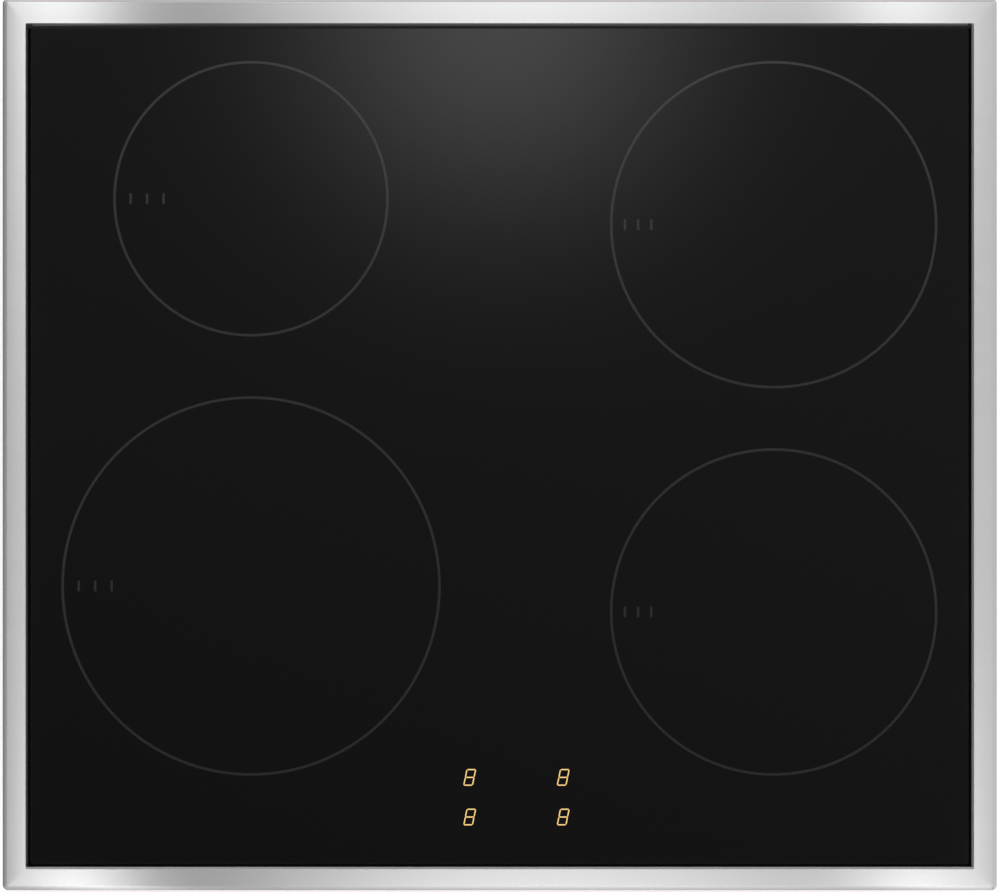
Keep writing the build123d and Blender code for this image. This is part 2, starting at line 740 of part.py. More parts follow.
# ------------------------------------------------------------------ trays and their posts
for side, (low_x, high_x) in trays.items():
    with BuildPart() as coil_tray:
        with BuildSketch(Plane.XY.offset(tray_bottom)):
            with Locations(((low_x + high_x) / 2, 0)):
                RectangleRounded(high_x - low_x, tray_rear_y - tray_front_y, casing_corner_radius)
            with Locations(*post_points(side)):
                Circle(screw_shank_radius + tray_screw_clearance, mode=Mode.SUBTRACT)
            for zone, (x, y, diameter) in zones.items():
                if side in zone:
                    with Locations((x, y)):
                        Circle(tray_vent_radius, mode=Mode.SUBTRACT)
                    with Locations(*lead_exits(zone)):
                        Circle(lead_radius + lead_tray_clearance, mode=Mode.SUBTRACT)
        extrude(amount=tray_sheet)
    finish(coil_tray.part, f"coil_tray_{side}")

all_posts = [point for side in sides for point in post_points(side)]

with BuildPart() as tray_posts:
    with BuildSketch(Plane.XY.offset(floor_top)):
        with Locations(*all_posts):
            Circle(post_radius)
    extrude(amount=tray_bottom - floor_top)
    with BuildSketch(Plane.XY.offset(tray_bottom - post_thread)):
        with Locations(*all_posts):
            Circle(screw_shank_radius + screw_clearance)
    extrude(amount=post_thread, mode=Mode.SUBTRACT)
finish(tray_posts.part, "tray_posts")

with BuildPart() as tray_screws:
    with BuildSketch(Plane.XY.offset(tray_top)):
        with Locations(*all_posts):
            Circle(screw_head_radius)
    extrude(amount=screw_head_height)
    with BuildSketch(Plane.XY.offset(tray_top - tray_sheet - post_thread + screw_clearance)):
        with Locations(*all_posts):
            Circle(screw_shank_radius)
    extrude(amount=tray_sheet + post_thread - screw_clearance)
    with BuildSketch(Plane.XY.offset(tray_top + screw_head_height - drive_recess_depth)):
        with Locations(*all_posts):
            Rectangle(2 * screw_shank_radius, screw_shank_radius / 2)
            Rectangle(screw_shank_radius / 2, 2 * screw_shank_radius)
    extrude(amount=drive_recess_depth, mode=Mode.SUBTRACT)
finish(tray_screws.part, "tray_screws")

# ------------------------------------------------------------------ power boards, heatsinks and fans
board_holes = {side: places([sign * (board_inner_x + board_hole_inset), sign * (board_outer_x - board_hole_inset)],
                            [board_front_y + board_hole_inset, board_rear_y - board_hole_inset])
               for side, sign in sides.items()}
filter_holes = places([-filter_length / 2 + board_hole_inset, filter_length / 2 - board_hole_inset],
                      [filter_mid_y - filter_width / 2 + board_hole_inset, filter_rear_y - board_hole_inset])
fin_pitch = (heatsink_width - fin_thickness) / (fin_count - 1)
transistor_pitch = heatsink_length / transistor_count
housing_top = floor_top + fan_housing_height
rotor_top = housing_top - fan_wall - rotor_gap
rotor_bottom = floor_top + rotor_floor_gap

for side, sign in sides.items():
    with BuildPart() as power_board:
        with BuildSketch(Plane.XY.offset(board_bottom)):
            with Locations((sign * board_mid_x, board_mid_y)):
                Rectangle(board_width, board_length)
            with Locations(*board_holes[side]):
                Circle(boss_pin_radius + screw_clearance, mode=Mode.SUBTRACT)
        extrude(amount=board_sheet)
    finish(power_board.part, f"power_board_{side}")

    with BuildPart() as heatsink:
        with BuildSketch(Plane.XY.offset(board_top)):
            with Locations((sign * heatsink_x, heatsink_y)):
                Rectangle(heatsink_width, heatsink_length)
        extrude(amount=heatsink_base)
        with BuildSketch(Plane.XY.offset(board_top + heatsink_base)):
            with Locations((sign * heatsink_x, heatsink_y)):
                with GridLocations(fin_pitch, 0, fin_count, 1):
                    Rectangle(fin_thickness, heatsink_length)
        extrude(amount=heatsink_height - heatsink_base)
    finish(heatsink.part, f"heatsink_{side}")

    with BuildPart() as fan_housing:
        with BuildSketch(Plane.XY.offset(floor_top)):
            with Locations((sign * fan_offset_x, fan_y)):
                RectangleRounded(fan_housing_size, fan_housing_size, fan_wall)
                Circle(fan_cavity_radius, mode=Mode.SUBTRACT)
        extrude(amount=fan_housing_height - fan_wall)
        with BuildSketch(Plane.XY.offset(housing_top - fan_wall)):
            with Locations((sign * fan_offset_x, fan_y)):
                RectangleRounded(fan_housing_size, fan_housing_size, fan_wall)
        extrude(amount=fan_wall)
        # outlet towards the heatsink
        with BuildSketch(Plane((sign * fan_offset_x, fan_y - fan_housing_size / 4, rotor_bottom))):
            Rectangle(fan_outlet_width, fan_housing_size / 2)
        extrude(amount=fan_outlet_height, mode=Mode.SUBTRACT)
        # motor's stator and axle under the roof
        with BuildSketch(Plane((sign * fan_offset_x, fan_y, rotor_bottom + hub_wall + stator_clearance))):
            Circle(hub_radius - hub_wall - stator_clearance)
        extrude(amount=housing_top - rotor_bottom - hub_wall - stator_clearance)
        with BuildSketch(Plane((sign * fan_offset_x, fan_y, rotor_bottom))):
            Circle(axle_radius)
        extrude(amount=hub_wall + stator_clearance)
    finish(fan_housing.part, f"fan_housing_{side}")

    with BuildPart() as fan_rotor:
        rotor_plane = Plane((sign * fan_offset_x, fan_y, rotor_bottom))
        with BuildSketch(rotor_plane):
            Circle(hub_radius)
        extrude(amount=rotor_top - rotor_bottom)
        with BuildSketch(rotor_plane.offset(rotor_top - rotor_bottom - rotor_plate)):
            Circle(rotor_radius)
        extrude(amount=rotor_plate)
        with BuildSketch(rotor_plane.offset(hub_wall)):
            Circle(hub_radius - hub_wall)
        extrude(amount=rotor_top - rotor_bottom - hub_wall, mode=Mode.SUBTRACT)
        with BuildSketch(rotor_plane):
            Circle(axle_radius + axle_clearance)
        extrude(amount=hub_wall, mode=Mode.SUBTRACT)
        # curved blades between the inlet ring and the back plate
        with BuildSketch(rotor_plane):
            with PolarLocations(0, rotor_blade_count):
                with BuildLine():
                    blade_arc = ThreePointArc(
                        (rotor_blade_inner_radius, 0),
                        PolarLocations((rotor_blade_inner_radius + rotor_radius) / 2, 1,
                                       start_angle=rotor_blade_sweep / 4).locations[0].position,
                        PolarLocations(rotor_radius - rotor_blade_thickness, 1,
                                       start_angle=rotor_blade_sweep / 3).locations[0].position)
                trace(line_width=rotor_blade_thickness)
        extrude(amount=rotor_top - rotor_bottom)
        with BuildSketch(rotor_plane):
            Circle(rotor_radius)
            Circle(rotor_blade_inner_radius + 2 * rotor_plate, mode=Mode.SUBTRACT)
        extrude(amount=rotor_plate)
    finish(fan_rotor.part, f"fan_rotor_{side}")

with BuildPart() as board_standoffs:
    all_holes = board_holes["left"] + board_holes["right"] + filter_holes
    with BuildSketch(Plane.XY.offset(floor_top)):
        with Locations(*all_holes):
            Circle(boss_radius)
    extrude(amount=board_standoff)
    with BuildSketch(Plane.XY.offset(board_bottom)):
        with Locations(*all_holes):
            Circle(boss_pin_radius)
    extrude(amount=board_sheet + boss_pin_rise)
finish(board_standoffs.part, "board_standoffs")

# pieces on the power boards, each as a side-to-side distance from the middle, a place along Y and a size
transistor_x = heatsink_x + heatsink_width / 2 + transistor_thickness / 2
transistor_places = [heatsink_y + (step - (transistor_count - 1) / 2) * transistor_pitch
                     for step in range(transistor_count)]
with BuildPart() as power_transistors:
    for sign in sides.values():
        with BuildSketch(Plane.XY.offset(board_top + heatsink_base)):
            with Locations(*[(sign * transistor_x, y) for y in transistor_places]):
                Rectangle(transistor_thickness, transistor_width)
        extrude(amount=transistor_height)
        with BuildSketch(Plane.XY.offset(board_top)):
            for y in transistor_places:
                with Locations((sign * transistor_x, y)):
                    with GridLocations(0, transistor_width / 3, 1, 3):
                        Rectangle(transistor_lead, transistor_lead)
        extrude(amount=heatsink_base)
finish(power_transistors.part, "power_transistors")

film_x = transistor_x + transistor_thickness / 2 + film_gap + film_width / 2
with BuildPart() as film_capacitors:
    for sign in sides.values():
        with BuildSketch(Plane.XY.offset(board_top)):
            with Locations((sign * film_x, heatsink_y)):
                with GridLocations(0, film_length + film_gap, 1, film_count):
                    Rectangle(film_width, film_length)
        extrude(amount=film_height)
    fillet(edges().filter_by(Axis.Z), film_corner)
finish(film_capacitors.part, "film_capacitors")

bulk_x = film_x + film_width / 2 + film_gap + bulk_radius
with BuildPart() as bulk_capacitors:
    for sign in sides.values():
        with BuildSketch(Plane.XY.offset(board_top)):
            with Locations((sign * bulk_x, board_mid_y)):
                with GridLocations(0, 2 * bulk_radius + film_gap, 1, bulk_count):
                    Circle(bulk_radius)
        extrude(amount=bulk_height)
    chamfer(edges().group_by(Axis.Z)[-1], bulk_radius / 8)
finish(bulk_capacitors.part, "bulk_capacitors")

# ------------------------------------------------------------------ mains filter
with BuildPart() as filter_board:
    with BuildSketch(Plane.XY.offset(board_bottom)):
        with Locations((0, filter_mid_y)):
            Rectangle(filter_length, filter_width)
        with Locations(*filter_holes):
            Circle(boss_pin_radius + screw_clearance, mode=Mode.SUBTRACT)
    extrude(amount=board_sheet)
finish(filter_board.part, "filter_board")

choke_plane = Plane((choke_x, filter_mid_y, board_top + choke_wire_radius + choke_winding))
with BuildPart() as filter_choke:
    with BuildSketch(choke_plane.offset(-choke_wire_radius)):
        Circle(choke_radius + choke_wire_radius)
        Circle(choke_radius - choke_wire_radius, mode=Mode.SUBTRACT)
    extrude(amount=2 * choke_wire_radius)
    # two windings, one on each half of the core
    for half in (0, 180):
        with BuildSketch(choke_plane.offset(-choke_wire_radius - choke_winding)):
            with BuildLine():
                CenterArc((0, 0), choke_radius, half - choke_span / 2, choke_span)
            trace(line_width=2 * (choke_wire_radius + choke_winding))
        extrude(amount=2 * (choke_wire_radius + choke_winding))
finish(filter_choke.part, "filter_choke")

with BuildPart() as filter_capacitors:
    with BuildSketch(Plane.XY.offset(board_top)):
        with Locations((-filter_length / 4, filter_mid_y)):
            with GridLocations(0, film_width + film_gap, 1, filter_film_count):
                Rectangle(film_length, film_width)
    extrude(amount=film_height)
    fillet(edges().filter_by(Axis.Z), film_corner)
finish(filter_capacitors.part, "filter_capacitors")

# ------------------------------------------------------------------ terminal compartment
box_top = floor_top + terminal_box_height
lug_x = opening_length / 2 - cover_side_gap + cover_end_gap
lug_width = cover_side_gap - cover_end_gap
with BuildPart() as terminal_box:
    with BuildSketch(Plane.XY.offset(floor_top)):
        with Locations((0, terminal_mid_y)):
            Rectangle(terminal_box_length, terminal_box_depth)
            Rectangle(opening_length, terminal_box_depth - 2 * terminal_wall, mode=Mode.SUBTRACT)
    extrude(amount=terminal_box_height)
    with BuildSketch(Plane.XY.offset(box_top - terminal_wall)):
        with Locations((0, terminal_mid_y)):
            Rectangle(terminal_box_length, terminal_box_depth)
    extrude(amount=terminal_wall)
    # lugs that carry the cover's pins, hanging from the side walls through the floor's opening
    for sign in sides.values():
        with BuildSketch(Plane.XY.offset(floor_bottom)):
            with Locations((sign * (lug_x + lug_width / 2), hinge_y)):
                Rectangle(lug_width, 2 * cover_knuckle_radius)
        extrude(amount=casing_sheet + lug_height)
        with BuildSketch(Plane.YZ.offset(sign * (lug_x + lug_width / 2))):
            with Locations((hinge_y, hinge_z)):
                Circle(cover_pin_radius + pin_clearance)
        extrude(amount=lug_width / 2, both=True, mode=Mode.SUBTRACT)
    # way in for the mains cable, and way out for its wires to the filter board
    with BuildSketch(Plane.XZ.offset(-terminal_rear_y)):
        with Locations((0, cable_port_z)):
            RectangleRounded(cable_port_width, cable_port_height, cable_port_height / 3)
    extrude(amount=terminal_wall, mode=Mode.SUBTRACT)
    with BuildSketch(Plane.XZ.offset(-(terminal_rear_y - terminal_box_depth + terminal_wall))):
        with Locations((0, box_top - 2 * terminal_wall - wire_slot_height / 2)):
            SlotOverall(block_length, wire_slot_height)
    extrude(amount=terminal_wall, mode=Mode.SUBTRACT)
finish(terminal_box.part, "terminal_box")

with BuildPart() as cable_grommet:
    port = (cable_port_width, cable_port_height)
    lip = (cable_port_width + 2 * grommet_grip, cable_port_height + 2 * grommet_grip)
    with BuildSketch(Plane.XZ.offset(-(terminal_rear_y - terminal_wall - grommet_grip))):
        with Locations((0, cable_port_z)):
            RectangleRounded(*port, cable_port_height / 3)
    extrude(amount=-(wall_half_y - terminal_rear_y + terminal_wall + 2 * grommet_grip))
    for face_y in (terminal_rear_y - terminal_wall - grommet_grip, wall_half_y):
        with BuildSketch(Plane.XZ.offset(-face_y)):
            with Locations((0, cable_port_z)):
                RectangleRounded(*lip, cable_port_height / 3 + grommet_grip)
        extrude(amount=-grommet_grip)
    with BuildSketch(Plane.XZ.offset(-(terminal_rear_y - terminal_wall - grommet_grip))):
        with Locations((0, cable_port_z)):
            RectangleRounded(cable_port_width - 2 * grommet_wall, cable_port_height - 2 * grommet_wall,
                             cable_port_height / 3 - grommet_wall / 2)
    extrude(amount=-(wall_half_y - terminal_rear_y + terminal_wall + 2 * grommet_grip), mode=Mode.SUBTRACT)
finish(cable_grommet.part, "cable_grommet")

pole_pitch = block_length / block_poles
pole_points = [((pole - (block_poles - 1) / 2) * pole_pitch, terminal_mid_y) for pole in range(block_poles)]
block_bottom = box_top - terminal_wall - block_height
with BuildPart() as terminal_block:
    with BuildSketch(Plane.XY.offset(block_bottom)):
        with Locations((0, terminal_mid_y)):
            Rectangle(block_length, block_depth)
    extrude(amount=block_height)
    # screw wells, open below, and the wires' mouths towards the rear
    with BuildSketch(Plane.XY.offset(block_bottom)):
        with Locations(*pole_points):
            Circle(screw_head_radius)
    extrude(amount=block_height / 2, mode=Mode.SUBTRACT)
    with BuildSketch(Plane.XZ.offset(-(terminal_mid_y + block_depth / 2))):
        with Locations(*[(x, block_bottom + block_height / 4) for x, y in pole_points]):
            Rectangle(screw_head_radius, screw_head_radius)
    extrude(amount=block_depth / 2, mode=Mode.SUBTRACT)
finish(terminal_block.part, "terminal_block")

with BuildPart() as terminal_screws:
    with BuildSketch(Plane.XY.offset(block_bottom + block_height / 2 - screw_head_height)):
        with Locations(*pole_points):
            Circle(screw_head_radius - screw_clearance)
            Rectangle(2 * screw_shank_radius, screw_shank_radius / 2, mode=Mode.SUBTRACT)
    extrude(amount=screw_head_height)
finish(terminal_screws.part, "terminal_screws")

with BuildPart() as terminal_cover:
    with BuildSketch(Plane.XY.offset(floor_bottom)):
        with Locations((0, hinge_y + cover_reach / 2)):
            Rectangle(cover_length, cover_reach)
    extrude(amount=cover_thickness)
    with BuildSketch(Plane.YZ.offset(-cover_length / 2)):
        with Locations((hinge_y, hinge_z)):
            Circle(cover_knuckle_radius)
    extrude(amount=cover_length)
    with BuildSketch(Plane.YZ.offset(-cover_length / 2 - cover_pin_length)):
        with Locations((hinge_y, hinge_z)):
            Circle(cover_pin_radius)
    extrude(amount=cover_length + 2 * cover_pin_length)
    # finger notch at the free edge
    with BuildSketch(Plane.XY.offset(floor_bottom)):
        with Locations((0, hinge_y + cover_reach)):
            SlotOverall(notch_length, notch_depth)
    extrude(amount=cover_thickness / 2, mode=Mode.SUBTRACT)
finish(terminal_cover.part, "terminal_cover")

# ------------------------------------------------------------------ display behind the glass
digit_points = places((display_x - digit_spacing_x / 2, display_x + digit_spacing_x / 2),
                      (digit_mid_y - digit_spacing_y / 2, digit_mid_y + digit_spacing_y / 2))


def sheared(points, centre):
    """Moves points of an upright digit to its centre and leans them over by the digit's slant."""
    lean = tan(radians(digit_slant))
    return [(centre[0] + x + y * lean, centre[1] + y) for x, y in points]


def segment(middle, upright):
    """Outline of one bar of an upright digit: a long hexagon about its middle."""
    half = digit_cell / 2 - segment_gap
    if not upright:
        half = digit_width / 2 - segment_gap
    side = segment_width / 2
    outline = [(-half, 0), (side - half, side), (half - side, side), (half, 0), (half - side, -side),
               (side - half, -side)]
    if upright:
        outline = [(y, x) for x, y in outline]
    return [(middle[0] + x, middle[1] + y) for x, y in outline]


digit_bars = [segment((0, row * digit_cell), False) for row in (-1, 0, 1)]
digit_bars += [segment((column * digit_width / 2, row * digit_cell / 2), True) for column in (-1, 1)
               for row in (-1, 1)]

with BuildPart() as digit_segments:
    with BuildSketch(Plane.XY.offset(digit_top - segment_depth)):
        for centre in digit_points:
            for bar in digit_bars:
                Polygon(*sheared(bar, centre), align=None)
    extrude(amount=segment_depth)
finish(digit_segments.part, "digit_segments")

with BuildPart() as digit_modules:
    with BuildSketch(Plane.XY.offset(display_board_top)):
        with Locations(*digit_points):
            Rectangle(digit_module_width, digit_module_depth)
    extrude(amount=digit_top - display_board_top)
    add(digit_segments.part, mode=Mode.SUBTRACT)
finish(digit_modules.part, "digit_modules")

carrier_reach = post_inset + screw_head_radius + carrier_margin
carrier_low_x = tray_left[1] - carrier_reach
carrier_high_x = tray_right[0] + carrier_reach
with BuildPart() as display_board:
    with BuildSketch(Plane.XY.offset(display_board_bottom)):
        with Locations((display_x, digit_mid_y)):
            Rectangle(display_board_length, display_board_depth)
    extrude(amount=display_board_sheet)
finish(display_board.part, "display_board")

with BuildPart() as display_carrier:
    with BuildSketch(Plane.XY.offset(tray_top)):
        with Locations(((carrier_low_x + carrier_high_x) / 2, digit_mid_y)):
            Rectangle(carrier_high_x - carrier_low_x, display_board_depth - 2 * carrier_wall)
        with Locations((display_x, digit_mid_y)):
            Rectangle(display_board_length + 2 * carrier_wall, display_board_depth + 2 * carrier_wall)
        with Locations(*all_posts):
            Circle(screw_head_radius + screw_clearance, mode=Mode.SUBTRACT)
    extrude(amount=display_board_bottom - tray_top)
    with BuildSketch(Plane.XY.offset(display_board_bottom)):
        with Locations((display_x, digit_mid_y)):
            Rectangle(display_board_length + 2 * carrier_wall, display_board_depth + 2 * carrier_wall)
            Rectangle(display_board_length + 2 * pocket_clearance, display_board_depth + 2 * pocket_clearance,
                      mode=Mode.SUBTRACT)
    extrude(amount=display_board_sheet + carrier_wall)
finish(display_carrier.part, "display_carrier")

# ------------------------------------------------------------------ control socket in the floor
with BuildPart() as control_socket:
    with BuildSketch(Plane.XY.offset(floor_top)):
        with Locations((0, socket_y)):
            Rectangle(socket_length, socket_depth)
            Rectangle(socket_length - 2 * socket_wall, socket_depth - 2 * socket_wall, mode=Mode.SUBTRACT)
    extrude(amount=socket_height)
    with BuildSketch(Plane.XY.offset(floor_top + socket_height - socket_wall)):
        with Locations((0, socket_y)):
            Rectangle(socket_length, socket_depth)
    extrude(amount=socket_wall)
finish(control_socket.part, "control_socket")

with BuildPart() as control_pins:
    with BuildSketch(Plane.XY.offset(floor_top + socket_height - socket_wall - pin_length)):
        with Locations((0, socket_y)):
            with GridLocations((socket_length - 2 * socket_wall) / pin_count, 0, pin_count, 1):
                Rectangle(pin_side, pin_side)
    extrude(amount=pin_length)
finish(control_pins.part, "control_pins")

# ------------------------------------------------------------------ clamps under the side flanges
for name, (x, y) in clamp_points.items():
    inwards = -1 if y > 0 else 1
    with BuildPart() as clamp:
        with BuildSketch(Plane((x, y, clamp_plate_bottom))):
            Circle(clamp_width / 2)
            with Locations((0, inwards * clamp_reach / 2)):
                Rectangle(clamp_width, clamp_reach)
        extrude(amount=clamp_plate)
        with BuildSketch(Plane((x, y, clamp_plate_bottom + clamp_plate))):
            Circle(clamp_collar_radius)
            with Locations((0, inwards * (clamp_reach - clamp_plate / 2))):
                Rectangle(clamp_width, clamp_plate)
        extrude(amount=clamp_tip_rise)
        with BuildSketch(Plane((x, y, clamp_plate_bottom))):
            Circle(clamp_screw_radius + screw_clearance)
        extrude(amount=clamp_plate + clamp_tip_rise, mode=Mode.SUBTRACT)
    finish(clamp.part, f"clamp_{name}")

with BuildPart() as clamp_screws:
    with BuildSketch(Plane.XY.offset(clamp_head_bottom)):
        with Locations(*clamp_points.values()):
            Circle(clamp_screw_head_radius)
    extrude(amount=clamp_screw_head_height)
    with BuildSketch(Plane.XY.offset(clamp_head_top)):
        with Locations(*clamp_points.values()):
            Circle(clamp_screw_radius)
    extrude(amount=flange_top - clamp_head_top)
    with BuildSketch(Plane.XY.offset(clamp_head_bottom)):
        with Locations(*clamp_points.values()):
            Rectangle(2 * clamp_screw_radius, clamp_screw_radius / 2)
            Rectangle(clamp_screw_radius / 2, 2 * clamp_screw_radius)
    extrude(amount=drive_recess_depth, mode=Mode.SUBTRACT)
finish(clamp_screws.part, "clamp_screws")

with BuildPart() as clamp_nuts:
    with BuildSketch(Plane.XY.offset(flange_bottom - nut_height)):
        with Locations(*clamp_points.values()):
            RegularPolygon(nut_radius, 6)
            Circle(clamp_screw_radius + screw_clearance, mode=Mode.SUBTRACT)
    extrude(amount=nut_height)
finish(clamp_nuts.part, "clamp_nuts")
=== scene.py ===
"""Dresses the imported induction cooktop: brushed trim frame, black glass with its print, lit digits, seal,
spiral windings, and a finish for every piece of the casing and the electronics. Metres, +Y to the rear."""

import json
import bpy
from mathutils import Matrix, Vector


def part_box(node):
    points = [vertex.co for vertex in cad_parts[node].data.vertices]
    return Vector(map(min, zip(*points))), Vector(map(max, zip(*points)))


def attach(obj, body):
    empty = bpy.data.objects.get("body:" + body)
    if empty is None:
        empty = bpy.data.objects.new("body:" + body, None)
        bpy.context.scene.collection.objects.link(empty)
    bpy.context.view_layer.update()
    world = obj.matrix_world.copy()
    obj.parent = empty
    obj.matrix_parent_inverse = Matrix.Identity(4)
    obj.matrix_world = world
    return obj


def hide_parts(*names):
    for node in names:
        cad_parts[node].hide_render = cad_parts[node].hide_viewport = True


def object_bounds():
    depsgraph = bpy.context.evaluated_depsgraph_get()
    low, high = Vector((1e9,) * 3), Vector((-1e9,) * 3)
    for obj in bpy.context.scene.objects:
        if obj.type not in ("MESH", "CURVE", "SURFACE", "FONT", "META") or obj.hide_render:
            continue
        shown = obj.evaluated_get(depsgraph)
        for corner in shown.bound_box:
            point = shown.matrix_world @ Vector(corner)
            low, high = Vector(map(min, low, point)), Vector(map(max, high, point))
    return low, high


bl_info = {
    "name": "Induction Cooktop",
    "version": (1, 0, 0),
    "blender": (4, 5, 0),
    "location": "View3D > Sidebar > Cooktop",
    "description": "Builds and finishes the pieces of a built-in induction cooktop around its packed frame",
    "category": "Object",
}

from math import pi, radians, tan

import bmesh
import bpy
import numpy as np

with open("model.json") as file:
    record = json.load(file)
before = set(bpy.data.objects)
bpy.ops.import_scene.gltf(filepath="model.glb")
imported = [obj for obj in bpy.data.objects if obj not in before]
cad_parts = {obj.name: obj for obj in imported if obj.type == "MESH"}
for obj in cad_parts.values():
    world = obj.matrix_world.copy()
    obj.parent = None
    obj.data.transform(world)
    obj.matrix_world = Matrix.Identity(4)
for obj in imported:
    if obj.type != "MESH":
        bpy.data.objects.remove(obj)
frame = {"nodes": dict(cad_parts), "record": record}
CAD_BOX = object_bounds()
ROOT = "cooktop"
MM = 0.001
ZONES = ("rear_left", "front_left", "rear_right", "front_right")
# each zone's tick marks: the pan that the innermost one stands for, and the step from one mark to the next
TICK_COUNT = 3
TICKS = {"rear_left": (101 * MM, 9.5 * MM), "front_left": (161 * MM, 9.5 * MM),
         "rear_right": (141.4 * MM, 7.6 * MM), "front_right": (141.4 * MM, 7.6 * MM)}
# the print: its depth in the glass, then its eased edges (the rings' by height) and corners (by width)
PRINT_BED = 0.09 * MM
MARK_EASE, RING_EASE, MARK_CORNER = 0.01 * MM, 0.3, 0.25
# the lit bars: their gap above the glass, their height and their eased edge
LIT_LIFT, LIT_RISE, LIT_EASE = 0.005 * MM, 0.02 * MM, 0.005 * MM
# points round a ring, along a turn of a winding and round its wire
RING_STEPS, TURN_STEPS, WIRE_SIDES = 288, 72, 10
# share of the flat top that its crown takes up, and a soft fold's radius over a tight one's
CROWN_FILL, FOLD_RATIO = 0.9, 3
# cosine between a surface's own normal and a face's, above which the surface's is taken
SAME_WAY = 0.5
STEEL_CONTRAST, STEEL_ROUGHNESS = 0.015, (0.12, 0.145)
# width of the bead's rear edge that is painted grey as a painted reflection
PAINTED_SHEEN_WIDTH = 0.5 * MM

# Studio light by direction. The streaks and the fall-off to the sides go by the sideways part of a unit
# direction, and the streaks' strength and the fall-off to front and rear by its part along Y; each stop gives
# a place and a level. The flag and its glow are measured on a plane one unit up.
STREAKS = ((-0.16, 0.45), (-0.135, 0.4), (-0.123, 1.75), (-0.113, 3.3), (-0.106, 2.4), (-0.095, 0.75),
           (-0.083, 0.3), (-0.06, 0.8), (-0.03, 1.43), (0.0, 1.78), (0.036, 1.65), (0.06, 1.33),
           (0.076, 1.05), (0.088, 1.2), (0.105, 2.65), (0.114, 2.25), (0.128, 0.82), (0.16, 0.72))
STREAK_SKEW = 0.011
STREAK_STRENGTH = ((-1.0, 0.4), (-0.4, 1.0), (0.0, 1.0), (0.4, 1.0), (0.85, 0.1), (1.0, 0.0))
SIDES = ((-1.0, 0.34), (-0.9, 0.44), (-0.8, 0.95), (-0.3, 1.1), (0.3, 1.1), (0.7, 1.1), (1.0, 1.1))
DEPTHS = ((-1.0, 0.62), (-0.5, 1.25), (-0.2, 1.38), (0.0, 0.88), (0.2, 1.26), (0.5, 1.3), (1.0, 0.5))
TOP_LEVEL = 4.0
FLAG_SIDE, FLAG_FRONT, FLAG_REAR, FLAG_BLUR = 0.1255, -0.115, 0.112, 0.001
FLAG_LEVEL, FLAG_SLOPE = 0.215, (0.2, 0.5)
FLAG_RISE, LEAST_RISE = 0.5, 0.05
GLOW_PLACE, GLOW_SIZE, GLOW_LEVEL = (0.0, 0.1168), (0.034, 0.035), 1.6
FLOOR_SHINE, UNDERGLOW = 0.55, 0.5
FLOOR_GAP = 0.1 * MM
SENSOR_WIDTH = 36.0
VIEW_DEPTH = 50.0


def corners(node):
    """Lowest and highest corner of a node, as arrays."""
    low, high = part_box(node)
    return np.array(low, float), np.array(high, float)


FRAME_LOW, FRAME_HIGH = corners("trim_frame")
GLASS_LOW, GLASS_HIGH = corners("glass_plate")
FRAME_HALF = FRAME_HIGH[:2]
GLASS_MIDDLE = (GLASS_LOW + GLASS_HIGH)[:2] / 2


# ------------------------------------------------------------------ settings
def length_setting(name, description, default, precision=4):
    """A length that a user can set."""
    return bpy.props.FloatProperty(name=name, description=description, default=default, unit="LENGTH",
                                   precision=precision)


def share_setting(name, description, default):
    """A share from 0 to 1 that a user can set."""
    return bpy.props.FloatProperty(name=name, description=description, default=default, min=0, max=1)


def colour_setting(name, description, default):
    """A colour that a user can set."""
    return bpy.props.FloatVectorProperty(name=name, description=description, default=default, size=3,
                                         subtype="COLOR", min=0, max=1)


class FrameSettings(bpy.types.PropertyGroup):
    """Sizes and finish of the folded trim frame"""

    bevel: length_setting("Bevel", "Width of the bevelled outer edge", 2.6 * MM)
    bevel_drop: length_setting("Bevel height", "Height of the bevelled outer edge", 1.52 * MM)
    edge: length_setting("Steep edge", "Width of the bevel's steep outer part", 1.2 * MM)
    edge_drop: length_setting("Edge below top", "Upper end of the steep part below the top", 0.65 * MM)
    band: length_setting("Band", "Outer edge to the inner edge of the flat top", 13.4 * MM)
    crown: length_setting("Crown", "Radius of the flat top's slight crown", 2.5)
    slope_run: length_setting("Slope width", "Width of the sloped inner edge", 1.5 * MM)
    slope_drop: length_setting("Slope height", "Height of the sloped inner edge", 2.8 * MM)
    # painted light: along this upper part of the inner slope a lower mirror share lightens the front and the
    # right
    painted_light_run: length_setting("Wear width", "Upper part of the inner slope that shows wear", 1.1 * MM)
    sheet: length_setting("Sheet", "Thickness of the folded sheet", 0.8 * MM)
    shelf: length_setting("Shelf", "Width of the shelf under the glass", 10 * MM)
    skirt_gap: length_setting("Skirt gap", "Lower edge of the skirt above the worktop", 0.6 * MM)
    corner: length_setting("Corner", "Radius of the outer corners", 3.03 * MM)
    inner_corner: length_setting("Inner corner", "Radius of the opening's corners", 0.9 * MM)
    fold: length_setting("Fold", "Outer radius of a soft fold in the sheet", 0.6 * MM)
    steel: colour_setting("Steel", "Colour of the brushed stainless steel", (0.7, 0.7, 0.7))
    brushed_metal: share_setting("Brushed", "Mirror share of the brushed surface", 0.72)
    # painted light: these lower mirror shares make the front and right inner slopes lighter
    front_metal: share_setting("Front edge", "Mirror share of the inner slope along the front", 0.2)
    right_metal: share_setting("Right edge", "Mirror share of the inner slope along the right", 0.5)


